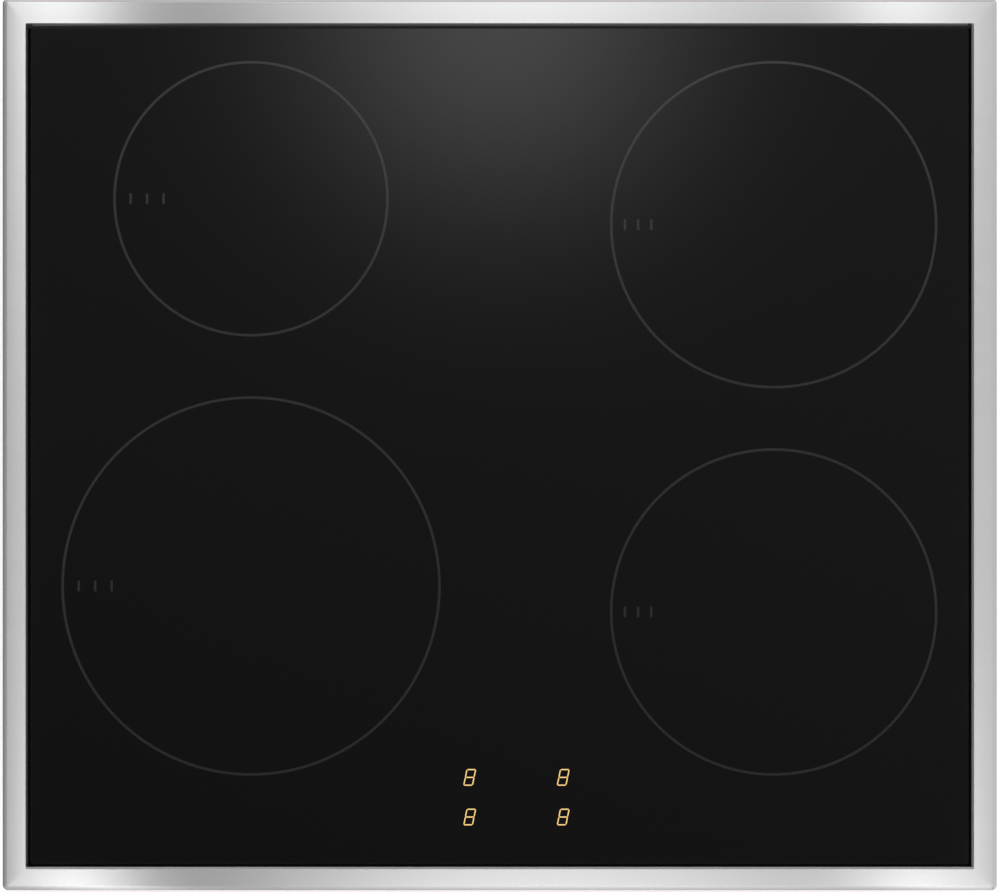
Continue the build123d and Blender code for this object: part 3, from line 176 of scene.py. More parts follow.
class GlassSettings(bpy.types.PropertyGroup):
    """Sizes and colours of the glass plate and its print"""

    glass: colour_setting("Glass", "Body colour of the black glass", (0.002, 0.002, 0.002))
    line: length_setting("Line", "Width of the printed rings", 1.5 * MM)
    ring_gap: length_setting("Ring gap", "Ring's outer edge beyond the coil former", 6.6 * MM)
    tick_length: length_setting("Tick length", "Length of a tick mark", 6.2 * MM)
    tick_width: length_setting("Tick width", "Width of a tick mark", 1.4 * MM)
    print_rise: length_setting("Print height", "Height of the fired print", 0.03 * MM, 5)
    enamel: colour_setting("Enamel", "Colour of the fired print", (0.04, 0.04, 0.04))


class DigitSettings(bpy.types.PropertyGroup):
    """Sizes and colour of the lit seven-segment digits"""

    cell: length_setting("Cell", "Height of one half of a digit, between bar middles", 4.5 * MM)
    width: length_setting("Width", "Width of a digit between bar middles", 5 * MM)
    bar: length_setting("Bar", "Width of a bar", 0.61 * MM)
    gap: length_setting("Gap", "Gap at a bar's end", 0.12 * MM, 5)
    slant: bpy.props.FloatProperty(name="Slant", description="Lean of the digits to the right",
                                   default=radians(11.5), subtype="ANGLE")
    light: colour_setting("Light", "Colour of the lit bars", (1.0, 0.67, 0.23))
    strength: bpy.props.FloatProperty(name="Strength", description="Brightness of the lit bars", default=1.12)
    spacing_x: length_setting("Spacing across", "Left digits to right digits", 54 * MM)
    spacing_y: length_setting("Spacing along", "Front digits to rear digits", 22.9 * MM)


class CoilSettings(bpy.types.PropertyGroup):
    """Sizes of the spiral windings under the zones"""

    pitch: length_setting("Pitch", "Distance between turns", 3.2 * MM)
    wire: length_setting("Wire", "Diameter of the stranded wire", 3.0 * MM)
    hub: length_setting("Hub", "Inner radius of a winding", 20 * MM)
    copper: colour_setting("Copper", "Colour of the enamelled strands", (0.55, 0.2, 0.075))


class StageSettings(bpy.types.PropertyGroup):
    """Camera and floor"""

    distance: length_setting("Distance", "Camera height above the frame's top", 2.2)
    view_width: length_setting("View width", "Width of the view at the frame's top", 0.57693, 5)
    offset: bpy.props.FloatVectorProperty(name="Offset", default=(0.14 * MM, -0.99 * MM), size=2,
                                          description="Camera's place beside the cooktop's middle",
                                          unit="LENGTH", precision=5)
    floor_size: length_setting("Floor", "Half the floor's width", 6.0)


# ------------------------------------------------------------------ surfaces
def grid_faces(rows, columns, wrap_rows, wrap_columns, first):
    """Quads of a grid: each joins a point, its neighbour along, the one across from that, and its own
    neighbour across."""
    index = np.arange(rows * columns).reshape(rows, columns) + first
    if wrap_rows:
        index = np.vstack([index, index[:1]])
    if wrap_columns:
        index = np.hstack([index, index[:, :1]])
    quads = np.stack([index[:-1, :-1], index[1:, :-1], index[1:, 1:], index[:-1, 1:]], axis=-1)
    return quads.reshape(-1, 4)


def make_piece(name, grids, body, material, caps=()):
    """A mesh of one or more grids: each grid is points, normals or None, and whether its rows and its
    columns close. Faces are turned outwards. A corner takes the surface's own normal, and the face's where
    the two part by more than a sixth of a turn, so that a cut end stays crisp."""
    points, normals, quads, first = [], [], [], 0
    for grid, grid_normals, wrap_rows, wrap_columns in grids:
        rows, columns = grid.shape[:2]
        points.append(grid.reshape(-1, 3))
        normals.append(grid_normals)
        quads.append(grid_faces(rows, columns, wrap_rows, wrap_columns, first))
        first += rows * columns
    mesh = bpy.data.meshes.new(name)
    mesh.from_pydata(np.concatenate(points), [], np.concatenate(quads).tolist() + [list(cap) for cap in caps])
    outward_faces(mesh)
    corner_points = np.empty(len(mesh.loops), np.int32)
    mesh.loops.foreach_get("vertex_index", corner_points)
    if normals[0] is not None:
        wanted = np.concatenate([part.reshape(-1, 3) for part in normals])[corner_points]
        face_normals = np.empty(3 * len(mesh.polygons), np.float32)
        face_sizes = np.empty(len(mesh.polygons), np.int32)
        mesh.polygons.foreach_get("normal", face_normals)
        mesh.polygons.foreach_get("loop_total", face_sizes)
        own = np.repeat(face_normals.reshape(-1, 3), face_sizes, axis=0)
        agree = (own * wanted).sum(axis=1, keepdims=True) > SAME_WAY
        mesh.polygons.foreach_set("use_smooth", np.ones(len(mesh.polygons), bool))
        mesh.normals_split_custom_set(np.where(agree, wanted, own))
    plan = mesh.uv_layers.new(name="Plan")
    places = np.empty(3 * len(mesh.vertices), np.float32)
    mesh.vertices.foreach_get("co", places)
    plan.data.foreach_set("uv", places.reshape(-1, 3)[corner_points, :2].ravel())
    piece = bpy.data.objects.new(name, mesh)
    bpy.context.scene.collection.objects.link(piece)
    mesh.materials.append(material)
    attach(piece, body)
    return piece


def outline_ring(inset, height, half, corner, least, steps=8, middle=0.0):
    """Rounded rectangles inside half by each inset: every corner is an arc about a centre that stays put
    until the inset brings its radius down to the least. A row's middle may lie off the origin along Y. Gives
    the points at each height, and the outward direction at each point."""
    inset, height, middle = (np.atleast_1d(row)[:, None, None] for row in (inset, height, middle))
    radius = np.maximum(corner - inset, least)
    quarter = np.arange(4)[None, :, None]
    turn = (quarter + np.linspace(0, 1, steps + 1)[None, None, :]) * pi / 2
    side_x = np.where((quarter == 0) | (quarter == 3), 1, -1)
    side_y = np.where(quarter < 2, 1, -1)
    x = side_x * (half[0] - inset - radius) + radius * np.cos(turn)
    y = side_y * (half[1] - inset - radius) + radius * np.sin(turn) + middle
    z = height + 0 * x
    count = inset.shape[0]
    points = np.stack([x, y, z], axis=-1).reshape(count, -1, 3)
    outward = np.stack([np.cos(turn) + 0 * x, np.sin(turn) + 0 * x, 0 * x], axis=-1).reshape(count, -1, 3)
    return points, outward


def folded_profile(path, radii, sheet, steps=6):
    """A folded sheet's section. The outer line runs straight between folds, and each fold is an arc tangent
    to both runs; the hidden line lies a sheet's thickness to the right. Gives the closed line and its
    normals."""
    path = np.array(path, float)
    run = np.diff(path, axis=0)
    way = run / np.linalg.norm(run, axis=1)[:, None]
    line, right = [path[0]], [np.array([way[0, 1], -way[0, 0]])]
    for place, radius, before, after in zip(path[1:-1], radii, way[:-1], way[1:]):
        turn = np.arctan2(before[0] * after[1] - before[1] * after[0], before @ after)
        side = -np.sign(turn)
        start = place - before * radius * tan(abs(turn) / 2)
        centre = start + side * radius * np.array([before[1], -before[0]])
        angles = np.arctan2(before[1], before[0]) + turn * np.linspace(0, 1, steps + 1)
        arc_right = np.stack([np.sin(angles), -np.cos(angles)], axis=-1)
        line.extend(centre - side * radius * arc_right)
        right.extend(arc_right)
    line.append(path[-1])
    right.append(np.array([way[-1, 1], -way[-1, 0]]))
    line, right = np.array(line), np.array(right)
    hidden = line + sheet * right
    return np.vstack([line, hidden[::-1]]), np.vstack([-right, right[::-1]])


def prism(outline, base, rise, edge):
    """An upright bar on an outline: its wall goes straight up, then leans in by the edge on the way to its
    top. Gives a grid of three outlines, one above another."""
    middle = outline.mean(axis=0)
    reach = np.linalg.norm(outline - middle, axis=1, keepdims=True)
    upper = outline - (outline - middle) / reach * edge
    levels = [(outline, base), (outline, base + rise - edge), (upper, base + rise)]
    return np.stack([np.column_stack([shape, np.full(len(shape), z)]) for shape, z in levels])


def make_prisms(name, outlines, base, rise, edge, body, material):
    """Many upright bars as one piece, each closed by a face above and one below."""
    grids, caps, first = [], [], 0
    for outline in outlines:
        grid = prism(outline, base, rise, edge)
        rows, columns = grid.shape[:2]
        grids.append((grid, None, False, True))
        caps.append(range(first, first + columns))
        caps.append(range(first + (rows - 1) * columns, first + rows * columns))
        first += rows * columns
    return make_piece(name, grids, body, material, caps)


def outward_faces(mesh):
    """Turns a closed mesh's faces outwards."""
    shape = bmesh.new()
    shape.from_mesh(mesh)
    bmesh.ops.recalc_face_normals(shape, faces=shape.faces)
    shape.to_mesh(mesh)
    shape.free()


# ------------------------------------------------------------------ shader parts
def link(tree, source, target):
    """Joins an output socket to an input socket."""
    tree.links.new(source, target)


def group(name, inputs, outputs):
    """A new shader node group with float, vector and colour sockets. Gives the tree and its two ends."""
    kinds = {"value": "NodeSocketFloat", "vector": "NodeSocketVector", "colour": "NodeSocketColor"}
    tree = bpy.data.node_groups.new(name, "ShaderNodeTree")
    for title, kind, default in inputs:
        socket = tree.interface.new_socket(name=title, in_out="INPUT", socket_type=kinds[kind])
        if default is not None:
            socket.default_value = default
    for title, kind in outputs:
        tree.interface.new_socket(name=title, in_out="OUTPUT", socket_type=kinds[kind])
    return tree, tree.nodes.new("NodeGroupInput"), tree.nodes.new("NodeGroupOutput")


def noise(tree, vector, scale, detail=3.0, roughness=0.5):
    """A noise texture's value at the vector."""
    node = tree.nodes.new("ShaderNodeTexNoise")
    node.inputs["Scale"].default_value = scale
    node.inputs["Detail"].default_value = detail
    node.inputs["Roughness"].default_value = roughness
    link(tree, vector, node.inputs["Vector"])
    return node.outputs["Fac"]


def math_node(tree, operation, first, second=None):
    """One step of arithmetic on sockets or numbers."""
    node = tree.nodes.new("ShaderNodeMath")
    node.operation = operation
    for slot_number, value in enumerate((first, second)):
        if value is None:
            continue
        if isinstance(value, (int, float)):
            node.inputs[slot_number].default_value = value
        else:
            link(tree, value, node.inputs[slot_number])
    return node.outputs[0]


def spread(tree, value, low, high, from_low=0.0, from_high=1.0):
    """Carries a value from one range to another, held at the ends."""
    node = tree.nodes.new("ShaderNodeMapRange")
    link(tree, value, node.inputs["Value"])
    for title, number in (("From Min", from_low), ("From Max", from_high), ("To Min", low), ("To Max", high)):
        if isinstance(number, (int, float)):
            node.inputs[title].default_value = number
        else:
            link(tree, number, node.inputs[title])
    return node.outputs["Result"]


def blend_colours(tree, factor, first, second):
    """Mixes two colours by a factor."""
    node = tree.nodes.new("ShaderNodeMix")
    node.data_type = "RGBA"
    link(tree, factor, node.inputs[0])
    for socket, value in ((node.inputs[6], first), (node.inputs[7], second)):
        if isinstance(value, (tuple, list)):
            socket.default_value = (*value[:3], 1.0)
        else:
            link(tree, value, socket)
    return node.outputs[2]


def parted_place(tree, source="Object"):
    """The three parts of a texture coordinate, in the object's own frame unless another is named."""
    place = tree.nodes.new("ShaderNodeTexCoord")
    parts = tree.nodes.new("ShaderNodeSeparateXYZ")
    link(tree, place.outputs[source], parts.inputs[0])
    return parts.outputs


def tinted(colour, factor):
    """A colour made deeper or paler by a factor, held at 1."""
    return tuple(min(factor * part, 1) for part in colour[:3])


def build_grain():
    """Fine straight grain: noise on a place that is squeezed along the brushing, so it draws out in lines."""
    tree, ends_in, ends_out = group("Straight Grain", [("Vector", "vector", None), ("Along", "value", 8.0),
                                                       ("Across", "value", 2600.0)],
                                    [("Lines", "value"), ("Bands", "value")])
    scale = tree.nodes.new("ShaderNodeCombineXYZ")
    link(tree, ends_in.outputs["Along"], scale.inputs[0])
    link(tree, ends_in.outputs["Across"], scale.inputs[1])
    link(tree, ends_in.outputs["Across"], scale.inputs[2])
    squeezed = tree.nodes.new("ShaderNodeVectorMath")
    squeezed.operation = "MULTIPLY"
    link(tree, ends_in.outputs["Vector"], squeezed.inputs[0])
    link(tree, scale.outputs[0], squeezed.inputs[1])
    link(tree, noise(tree, squeezed.outputs[0], 1.0, roughness=0.7), ends_out.inputs["Lines"])
    link(tree, noise(tree, squeezed.outputs[0], 0.11, detail=2.0), ends_out.inputs["Bands"])
    return tree


def build_mottle():
    """Uneven colour: a slow noise and a fine one together mix a pale and a deep shade, and give a height."""
    tree, ends_in, ends_out = group("Mottle", [("Vector", "vector", None), ("Scale", "value", 60.0),
                                               ("Deep", "colour", None), ("Pale", "colour", None)],
                                    [("Colour", "colour"), ("Height", "value"), ("Mask", "value")])
    scaled = tree.nodes.new("ShaderNodeVectorMath")
    scaled.operation = "SCALE"
    link(tree, ends_in.outputs["Vector"], scaled.inputs[0])
    link(tree, ends_in.outputs["Scale"], scaled.inputs["Scale"])
    slow = noise(tree, scaled.outputs[0], 1.0, roughness=0.55)
    fine = noise(tree, scaled.outputs[0], 14.0, detail=2.0, roughness=0.6)
    both = math_node(tree, "ADD", math_node(tree, "MULTIPLY", slow, 0.7),
                     math_node(tree, "MULTIPLY", fine, 0.3))
    mask = spread(tree, both, 0.0, 1.0, from_low=0.33, from_high=0.67)
    link(tree, blend_colours(tree, mask, ends_in.outputs["Deep"], ends_in.outputs["Pale"]),
         ends_out.inputs["Colour"])
    link(tree, fine, ends_out.inputs["Height"])
    link(tree, mask, ends_out.inputs["Mask"])
    return tree


def build_spangle():
    """Zinc spangle: each Voronoi cell takes its own shade, softened by a fine noise."""
    tree, ends_in, ends_out = group("Spangle", [("Vector", "vector", None), ("Scale", "value", 160.0)],
                                    [("Shade", "value")])
    cells = tree.nodes.new("ShaderNodeTexVoronoi")
    link(tree, ends_in.outputs["Vector"], cells.inputs["Vector"])
    link(tree, ends_in.outputs["Scale"], cells.inputs["Scale"])
    parted = tree.nodes.new("ShaderNodeSeparateColor")
    link(tree, cells.outputs["Color"], parted.inputs[0])
    fine = noise(tree, ends_in.outputs["Vector"], 900.0, detail=2.0)
    both = math_node(tree, "ADD", math_node(tree, "MULTIPLY", parted.outputs[0], 0.7),
                     math_node(tree, "MULTIPLY", fine, 0.3))
    link(tree, both, ends_out.inputs["Shade"])
    return tree


def build_smudge():
    """Faint wipe marks: a stretched noise thresholded low, over a slow one."""
    tree, ends_in, ends_out = group("Wipe Marks", [("Vector", "vector", None)], [("Mask", "value")])
    stretched = tree.nodes.new("ShaderNodeVectorMath")
    stretched.operation = "MULTIPLY"
    stretched.inputs[1].default_value = (9.0, 26.0, 9.0)
    link(tree, ends_in.outputs["Vector"], stretched.inputs[0])
    wipes = noise(tree, stretched.outputs[0], 1.0, detail=5.0, roughness=0.6)
    wipes = spread(tree, wipes, 0.0, 1.0, from_low=0.45, from_high=0.8)
    slow = noise(tree, ends_in.outputs["Vector"], 5.0, detail=2.0)
    slow = spread(tree, slow, 0.2, 1.0, from_low=0.35, from_high=0.65)
    link(tree, math_node(tree, "MULTIPLY", wipes, slow), ends_out.inputs["Mask"])
    return tree


GROUPS = {}


def use_group(tree, name, **values):
    """Places a shared group in a material's tree, with its own values, on the object's own place."""
    builders = {"Straight Grain": build_grain, "Mottle": build_mottle, "Spangle": build_spangle,
                "Wipe Marks": build_smudge}
    if name not in GROUPS:
        GROUPS[name] = builders[name]()
    node = tree.nodes.new("ShaderNodeGroup")
    node.node_tree = GROUPS[name]
    place = tree.nodes.new("ShaderNodeTexCoord")
    link(tree, place.outputs["Object"], node.inputs["Vector"])
    for title, value in values.items():
        socket = node.inputs[title]
        socket.default_value = value if isinstance(value, (int, float)) else (*value[:3], 1.0)
    return node


def new_material(name, colour=(0.5, 0.5, 0.5), rough=0.5, metal=0.0, **sockets):
    """A material with one Principled shader, its plain sockets set. Gives the material, tree and shader."""
    made = bpy.data.materials.new(name)
    made.use_nodes = True
    tree = made.node_tree
    shader = tree.nodes["Principled BSDF"]
    shader.inputs["Base Color"].default_value = (*colour[:3], 1.0)
    shader.inputs["Roughness"].default_value = rough
    shader.inputs["Metallic"].default_value = metal
    for title, value in sockets.items():
        shader.inputs[title.replace("_", " ")].default_value = value
    return made, tree, shader


def bump(tree, shader, height, strength, distance):
    """Raises the surface's shading by a height."""
    node = tree.nodes.new("ShaderNodeBump")
    node.inputs["Strength"].default_value = strength
    node.inputs["Distance"].default_value = distance
    link(tree, height, node.inputs["Height"])
    link(tree, node.outputs["Normal"], shader.inputs["Normal"])


def brushed_steel(size):
    """Stainless steel brushed in one direction, along X, over the whole frame: mostly a mirror drawn out
    across the grain, with some plain scatter. The slope down to the glass is bright metal; along the front,
    and a little along the right, a lower mirror share makes it lighter there: painted light."""
    made, tree, shader = new_material("brushed_steel")
    shader.inputs["Anisotropic"].default_value = 1.0
    shader.inputs["Anisotropic Rotation"].default_value = 0.25
    tangent = tree.nodes.new("ShaderNodeTangent")
    tangent.direction_type = "UV_MAP"
    tangent.uv_map = "Plan"
    link(tree, tangent.outputs[0], shader.inputs["Tangent"])
    grain = use_group(tree, "Straight Grain", Along=10.0, Across=1100.0)
    shade = blend_colours(tree, grain.outputs["Lines"], tinted(size.steel, 1 - STEEL_CONTRAST),
                          tinted(size.steel, 1 + STEEL_CONTRAST))
    link(tree, shade, shader.inputs["Base Color"])
    link(tree, spread(tree, grain.outputs["Bands"], *STEEL_ROUGHNESS), shader.inputs["Roughness"])
    across, along, _ = parted_place(tree)
    half = FRAME_HALF - size.band
    inside = math_node(tree, "LESS_THAN", math_node(tree, "ABSOLUTE", across), half[0])
    off = math_node(tree, "ABSOLUTE", math_node(tree, "SUBTRACT", along, GLASS_MIDDLE[1]))
    inside = math_node(tree, "MULTIPLY", inside, math_node(tree, "LESS_THAN", off, half[1]))
    # painted light: a lower mirror share on the upper inner slope along the front and the right lightens it
    # there
    front = math_node(tree, "LESS_THAN", along, GLASS_MIDDLE[1] - half[1] + size.painted_light_run)
    right = math_node(tree, "GREATER_THAN", across, half[0] - size.painted_light_run)
    slope = spread(tree, front, spread(tree, right, 1.0, size.right_metal), size.front_metal)
    link(tree, spread(tree, inside, size.brushed_metal, slope), shader.inputs["Metallic"])
    return made


def black_glass(colour):
    """Polished black glass with the faintest wipe marks in its gloss."""
    made, tree, shader = new_material("black_glass", colour, IOR=1.5)
    wipes = use_group(tree, "Wipe Marks")
    link(tree, spread(tree, wipes.outputs["Mask"], 0.015, 0.04), shader.inputs["Roughness"])
    return made


def enamel(colour):
    """Fired enamel print with the screen's fine grain. Painted light: it is painted paler towards the rear
    and darker towards the front.
    """
    made, tree, shader = new_material("enamel_print", rough=0.08)
    speckle = use_group(tree, "Mottle", Scale=700.0, Deep=tinted(colour, 0.88), Pale=tinted(colour, 1.12))
    _, along, _ = parted_place(tree)
    # painted light: the print's colour goes from half at the front to full at the rear
    painted_rear_light = spread(tree, along, 0.5, 1.0, GLASS_LOW[1], GLASS_HIGH[1])
    shade = blend_colours(tree, painted_rear_light, (0.0, 0.0, 0.0), speckle.outputs["Colour"])
    link(tree, shade, shader.inputs["Base Color"])
    return made


def lit_bar(colour, strength):
    """Lit bar of a digit, with a faintly uneven glow."""
    made, tree, shader = new_material("lit_segments", (0.02, 0.02, 0.015), 0.4)
    glow = use_group(tree, "Mottle", Scale=500.0, Deep=tinted(colour, 0.93), Pale=colour)
    link(tree, glow.outputs["Colour"], shader.inputs["Emission Color"])
    shader.inputs["Emission Strength"].default_value = strength
    return made


def mottled(name, colour, rough, metal=0.0, scale=120.0, contrast=0.12, height=0.05):
    """A moulded, cast or coated surface: shade and gloss vary a little, with a fine skin texture."""
    made, tree, shader = new_material(name, metal=metal)
    skin = use_group(tree, "Mottle", Scale=scale, Deep=tinted(colour, 1 - contrast),
                     Pale=tinted(colour, 1 + contrast))
    link(tree, skin.outputs["Colour"], shader.inputs["Base Color"])
    link(tree, spread(tree, skin.outputs["Mask"], max(rough - 0.06, 0.02), rough + 0.06),
         shader.inputs["Roughness"])
    bump(tree, shader, skin.outputs["Height"], height, 0.2 * MM)
    return made


def grained(name, colour, rough, along, across):
    """Rolled or drawn metal with a soft straight grain."""
    made, tree, shader = new_material(name, metal=1.0)
    grain = use_group(tree, "Straight Grain", Along=along, Across=across)
    shade = blend_colours(tree, grain.outputs["Bands"], tinted(colour, 0.86), tinted(colour, 1.12))
    link(tree, shade, shader.inputs["Base Color"])
    link(tree, spread(tree, grain.outputs["Lines"], rough - 0.07, rough + 0.07), shader.inputs["Roughness"])
    bump(tree, shader, grain.outputs["Lines"], 0.08, 0.05 * MM)
    return made


def galvanised(colour):
    """Zinc-coated sheet with its spangle."""
    made, tree, shader = new_material("galvanised_sheet", metal=1.0)
    zinc = use_group(tree, "Spangle", Scale=150.0)
    shade = blend_colours(tree, zinc.outputs["Shade"], tinted(colour, 0.8), tinted(colour, 1.15))
    link(tree, shade, shader.inputs["Base Color"])
    link(tree, spread(tree, zinc.outputs["Shade"], 0.3, 0.5), shader.inputs["Roughness"])
    return made


def circuit_board(colour):
    """Green solder mask over tracks, which show as a raised blocky pattern."""
    made, tree, shader = new_material("circuit_board", rough=0.35)
    place = tree.nodes.new("ShaderNodeTexCoord")
    tracks = tree.nodes.new("ShaderNodeTexBrick")
    tracks.inputs["Scale"].default_value = 90.0
    tracks.inputs["Mortar Size"].default_value = 0.06
    for title, factor in (("Color1", 1.5), ("Color2", 1.15), ("Mortar", 0.7)):
        tracks.inputs[title].default_value = (*tinted(colour, factor), 1.0)
    link(tree, place.outputs["Object"], tracks.inputs["Vector"])
    link(tree, tracks.outputs["Color"], shader.inputs["Base Color"])
    bump(tree, shader, tracks.outputs["Fac"], 0.3, 0.1 * MM)
    return made


def stranded_copper(colour):
    """Enamelled copper strands: a fine mottle of deep and bright copper, raised a little."""
    made, tree, shader = new_material("copper_litz", rough=0.35, metal=0.9)
    strands = use_group(tree, "Mottle", Scale=900.0, Deep=tinted(colour, 0.6), Pale=tinted(colour, 1.3))
    link(tree, strands.outputs["Colour"], shader.inputs["Base Color"])
    bump(tree, shader, strands.outputs["Height"], 0.4, 0.2 * MM)
    return made


# ------------------------------------------------------------------ trim frame
class COOKTOP_OT_frame(bpy.types.Operator):
    """Builds the brushed trim frame: its folded section carried round a rounded rectangle"""

    bl_idname = "cooktop.frame"
    bl_label = "Trim Frame"

    def execute(self, context):
        size = context.scene.cooktop_frame
        top, low = FRAME_HIGH[2], FRAME_LOW[2]
        web = size.band + size.slope_run
        # the flat top is one shallow arc over most of its width, so its outer end lies a little lower
        half = (size.band - size.bevel) / 2
        drop = 2 * CROWN_FILL * half ** 2 / size.crown
        path = [(0, size.skirt_gap), (0, top - size.bevel_drop), (size.edge, top - size.edge_drop),
                (size.bevel, top - drop), (size.bevel + half, top), (size.band, top),
                (web, top - size.slope_drop), (web, low + size.sheet), (web + size.shelf, low + size.sheet)]
        tight = size.fold / FOLD_RATIO
        radii = (tight, size.fold, size.fold, size.crown, tight, size.fold, tight)
        line, facing = folded_profile(path, radii, size.sheet)
        # the outer edge lies about the frame's middle, and all that borders the glass about the glass's
        middle = np.where(line[:, 0] > size.bevel + half, GLASS_MIDDLE[1], 0.0)
        points, outward = outline_ring(line[:, 0], line[:, 1], FRAME_HALF, size.corner, size.inner_corner,
                                       middle=middle)
        normals = -facing[:, None, :1] * outward + facing[:, None, 1:] * np.array([0, 0, 1.0])
        piece = make_piece("trim_frame_brushed", [(points, normals, True, True)], ROOT,
                           brushed_steel(size))
        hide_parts("trim_frame")
        return {"FINISHED"}


# ------------------------------------------------------------------ glass and print
class COOKTOP_OT_glass(bpy.types.Operator):
    """Finishes the glass plate and builds the fired rings and tick marks on it"""

    bl_idname = "cooktop.glass"
    bl_label = "Glass and Print"

    def execute(self, context):
        size = context.scene.cooktop_glass
        dress("glass_plate", black_glass(size.glass))
        paint = enamel(size.enamel)
        dress("zone_print", paint)
        base = GLASS_HIGH[2] - PRINT_BED
        rise = size.print_rise + PRINT_BED
        grids = []
        for zone in ZONES:
            low, high = corners("coil_former_" + zone)
            centre, outer = (low + high)[:2] / 2, (high - low)[0] / 2 + size.ring_gap
            grids.append(ring_grid(centre, outer, size.line, base, rise))
        ring = make_piece("zone_rings", grids, ROOT, paint)
        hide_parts("zone_print")
        marks = []
        for zone, (pan, pitch) in TICKS.items():
            low, high = corners("coil_former_" + zone)
            centre = (low + high)[:2] / 2
            for step in range(TICK_COUNT):
                at = centre - (pan / 2 + step * pitch, 0)
                marks.append(rounded_bar(at, size.tick_width, size.tick_length))
        make_prisms("pan_size_marks", marks, base, rise, MARK_EASE, ROOT, paint)
        return {"FINISHED"}


def ring_grid(centre, outer, width, base, rise):
    """A flat ring: its small section, with the outer corners eased, is carried once round a circle."""
    ease, inner, top = RING_EASE * rise, outer - width, base + rise
    section = np.array([(inner, base), (inner, top - ease), (inner + ease, top), (outer - ease, top),
                        (outer, top - ease), (outer, base)])
    turn = np.linspace(0, 2 * pi, RING_STEPS, endpoint=False)
    x = centre[0] + section[:, None, 0] * np.cos(turn)
    y = centre[1] + section[:, None, 0] * np.sin(turn)
    z = section[:, None, 1] + 0 * x
    return np.stack([x, y, z], axis=-1), None, True, True


def rounded_bar(at, width, length, steps=5):
    """Outline of a bar in plan: a rectangle whose corners are small arcs."""
    corner = MARK_CORNER * width
    points, _ = outline_ring(0, 0, (width / 2, length / 2), corner, corner, steps)
    return points[0, :, :2] + at


# ------------------------------------------------------------------ digits
class COOKTOP_OT_digits(bpy.types.Operator):
    """Builds the four lit digits, each of seven slanted bars"""

    bl_idname = "cooktop.digits"
    bl_label = "Lit Digits"

    def execute(self, context):
        size = context.scene.cooktop_digits
        low, high = corners("digit_segments")
        middle = (low + high)[:2] / 2
        bars = []
        for across in (-0.5, 0.5):
            for along in (-0.5, 0.5):
                place = middle + np.array([across * size.spacing_x, along * size.spacing_y])
                bars.extend(place + bar for bar in digit_bars(size))
        light = lit_bar(size.light, size.strength)
        dress("digit_segments", light)
        piece = make_prisms("digit_bars", bars, GLASS_HIGH[2] + LIT_LIFT, LIT_RISE, LIT_EASE, ROOT,
                            light)
        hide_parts("digit_segments")
        return {"FINISHED"}


def digit_bars(size):
    """Outlines of a digit's seven bars: hexagons with pointed ends. Each point is moved across by its height
    times the slant's tangent, which leans the digit over."""
    half = size.bar / 2
    places = [(0, size.cell, True), (0, 0, True), (0, -size.cell, True)]
    places += [(side * size.width / 2, up * size.cell / 2, False) for side in (-1, 1) for up in (-1, 1)]
    bars = []
    for x, y, level in places:
        reach = (size.width if level else size.cell) / 2 - size.gap
        bar = np.array([(-reach, 0), (half - reach, half), (reach - half, half), (reach, 0),
                        (reach - half, -half), (half - reach, -half)])
        bar = bar if level else bar[:, ::-1]
        bar = bar + (x, y)
        bars.append(np.column_stack([bar[:, 0] + tan(size.slant) * bar[:, 1], bar[:, 1]]))
    return bars


# ------------------------------------------------------------------ windings
class COOKTOP_OT_coils(bpy.types.Operator):
    """Builds the four flat spiral windings of stranded copper wire"""

    bl_idname = "cooktop.coils"
    bl_label = "Coil Windings"

    def execute(self, context):
        size = context.scene.cooktop_coils
        copper = stranded_copper(size.copper)
        for zone in ZONES:
            low, high = corners("coil_winding_" + zone)
            grid, normals = spiral_wire((low + high)[:2] / 2, size.hub, (high - low)[0] / 2, size.pitch,
                                        size.wire, (low + high)[2] / 2)
            last = grid.shape[0] * grid.shape[1]
            caps = (range(WIRE_SIDES), range(last - WIRE_SIDES, last))
            piece = make_piece("spiral_winding_" + zone, [(grid, normals, False, True)], ROOT,
                               copper, caps)
            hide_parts("coil_winding_" + zone)
        return {"FINISHED"}


def spiral_wire(centre, hub, outer, pitch, wire, height):
    """A round wire along an even spiral: the radius grows by the pitch each turn, and the wire's circle
    stands across the way the spiral runs."""
    first, last = hub + pitch / 2, outer - pitch / 2
    turns = (last - first) / pitch
    turn = np.linspace(0, 2 * pi * turns, int(TURN_STEPS * turns) + 1)[:, None]
    radius = first + pitch * turn / (2 * pi)
    round_wire = np.linspace(0, 2 * pi, WIRE_SIDES, endpoint=False)[None, :]
    normals = np.stack([np.cos(turn) * np.cos(round_wire), np.sin(turn) * np.cos(round_wire),
                        np.sin(round_wire) + 0 * turn], axis=-1)
    spine = np.stack([centre[0] + radius * np.cos(turn), centre[1] + radius * np.sin(turn),
                      height + 0 * turn], axis=-1)
    return spine + wire / 2 * normals, normals


# ------------------------------------------------------------------ carried-over pieces
def dress(node, material):
    """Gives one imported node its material."""
    mesh = frame["nodes"][node].data
    mesh.materials.clear()
    mesh.materials.append(material)


def silicone_bead():
    """Matt black silicone; its rear bead is painted grey, a painted reflection."""
    made, tree, shader = new_material("black_silicone", rough=0.5, Specular_IOR_Level=0.02)
    black = use_group(tree, "Mottle", Scale=300.0, Deep=(0.001, 0.001, 0.001), Pale=(0.002, 0.002, 0.002))
    painted_sheen = use_group(tree, "Mottle", Scale=300.0, Deep=(0.022, 0.022, 0.022), Pale=(0.032, 0.032, 0.032))
    _, along, _ = parted_place(tree)
    # painted reflection: the bead's rear edge is mixed from black to grey
    rear = spread(tree, along, 0.0, 1.0, GLASS_HIGH[1] - PAINTED_SHEEN_WIDTH, GLASS_HIGH[1])
    link(tree, blend_colours(tree, rear, black.outputs["Colour"], painted_sheen.outputs["Colour"]),
         shader.inputs["Base Color"])
    return made


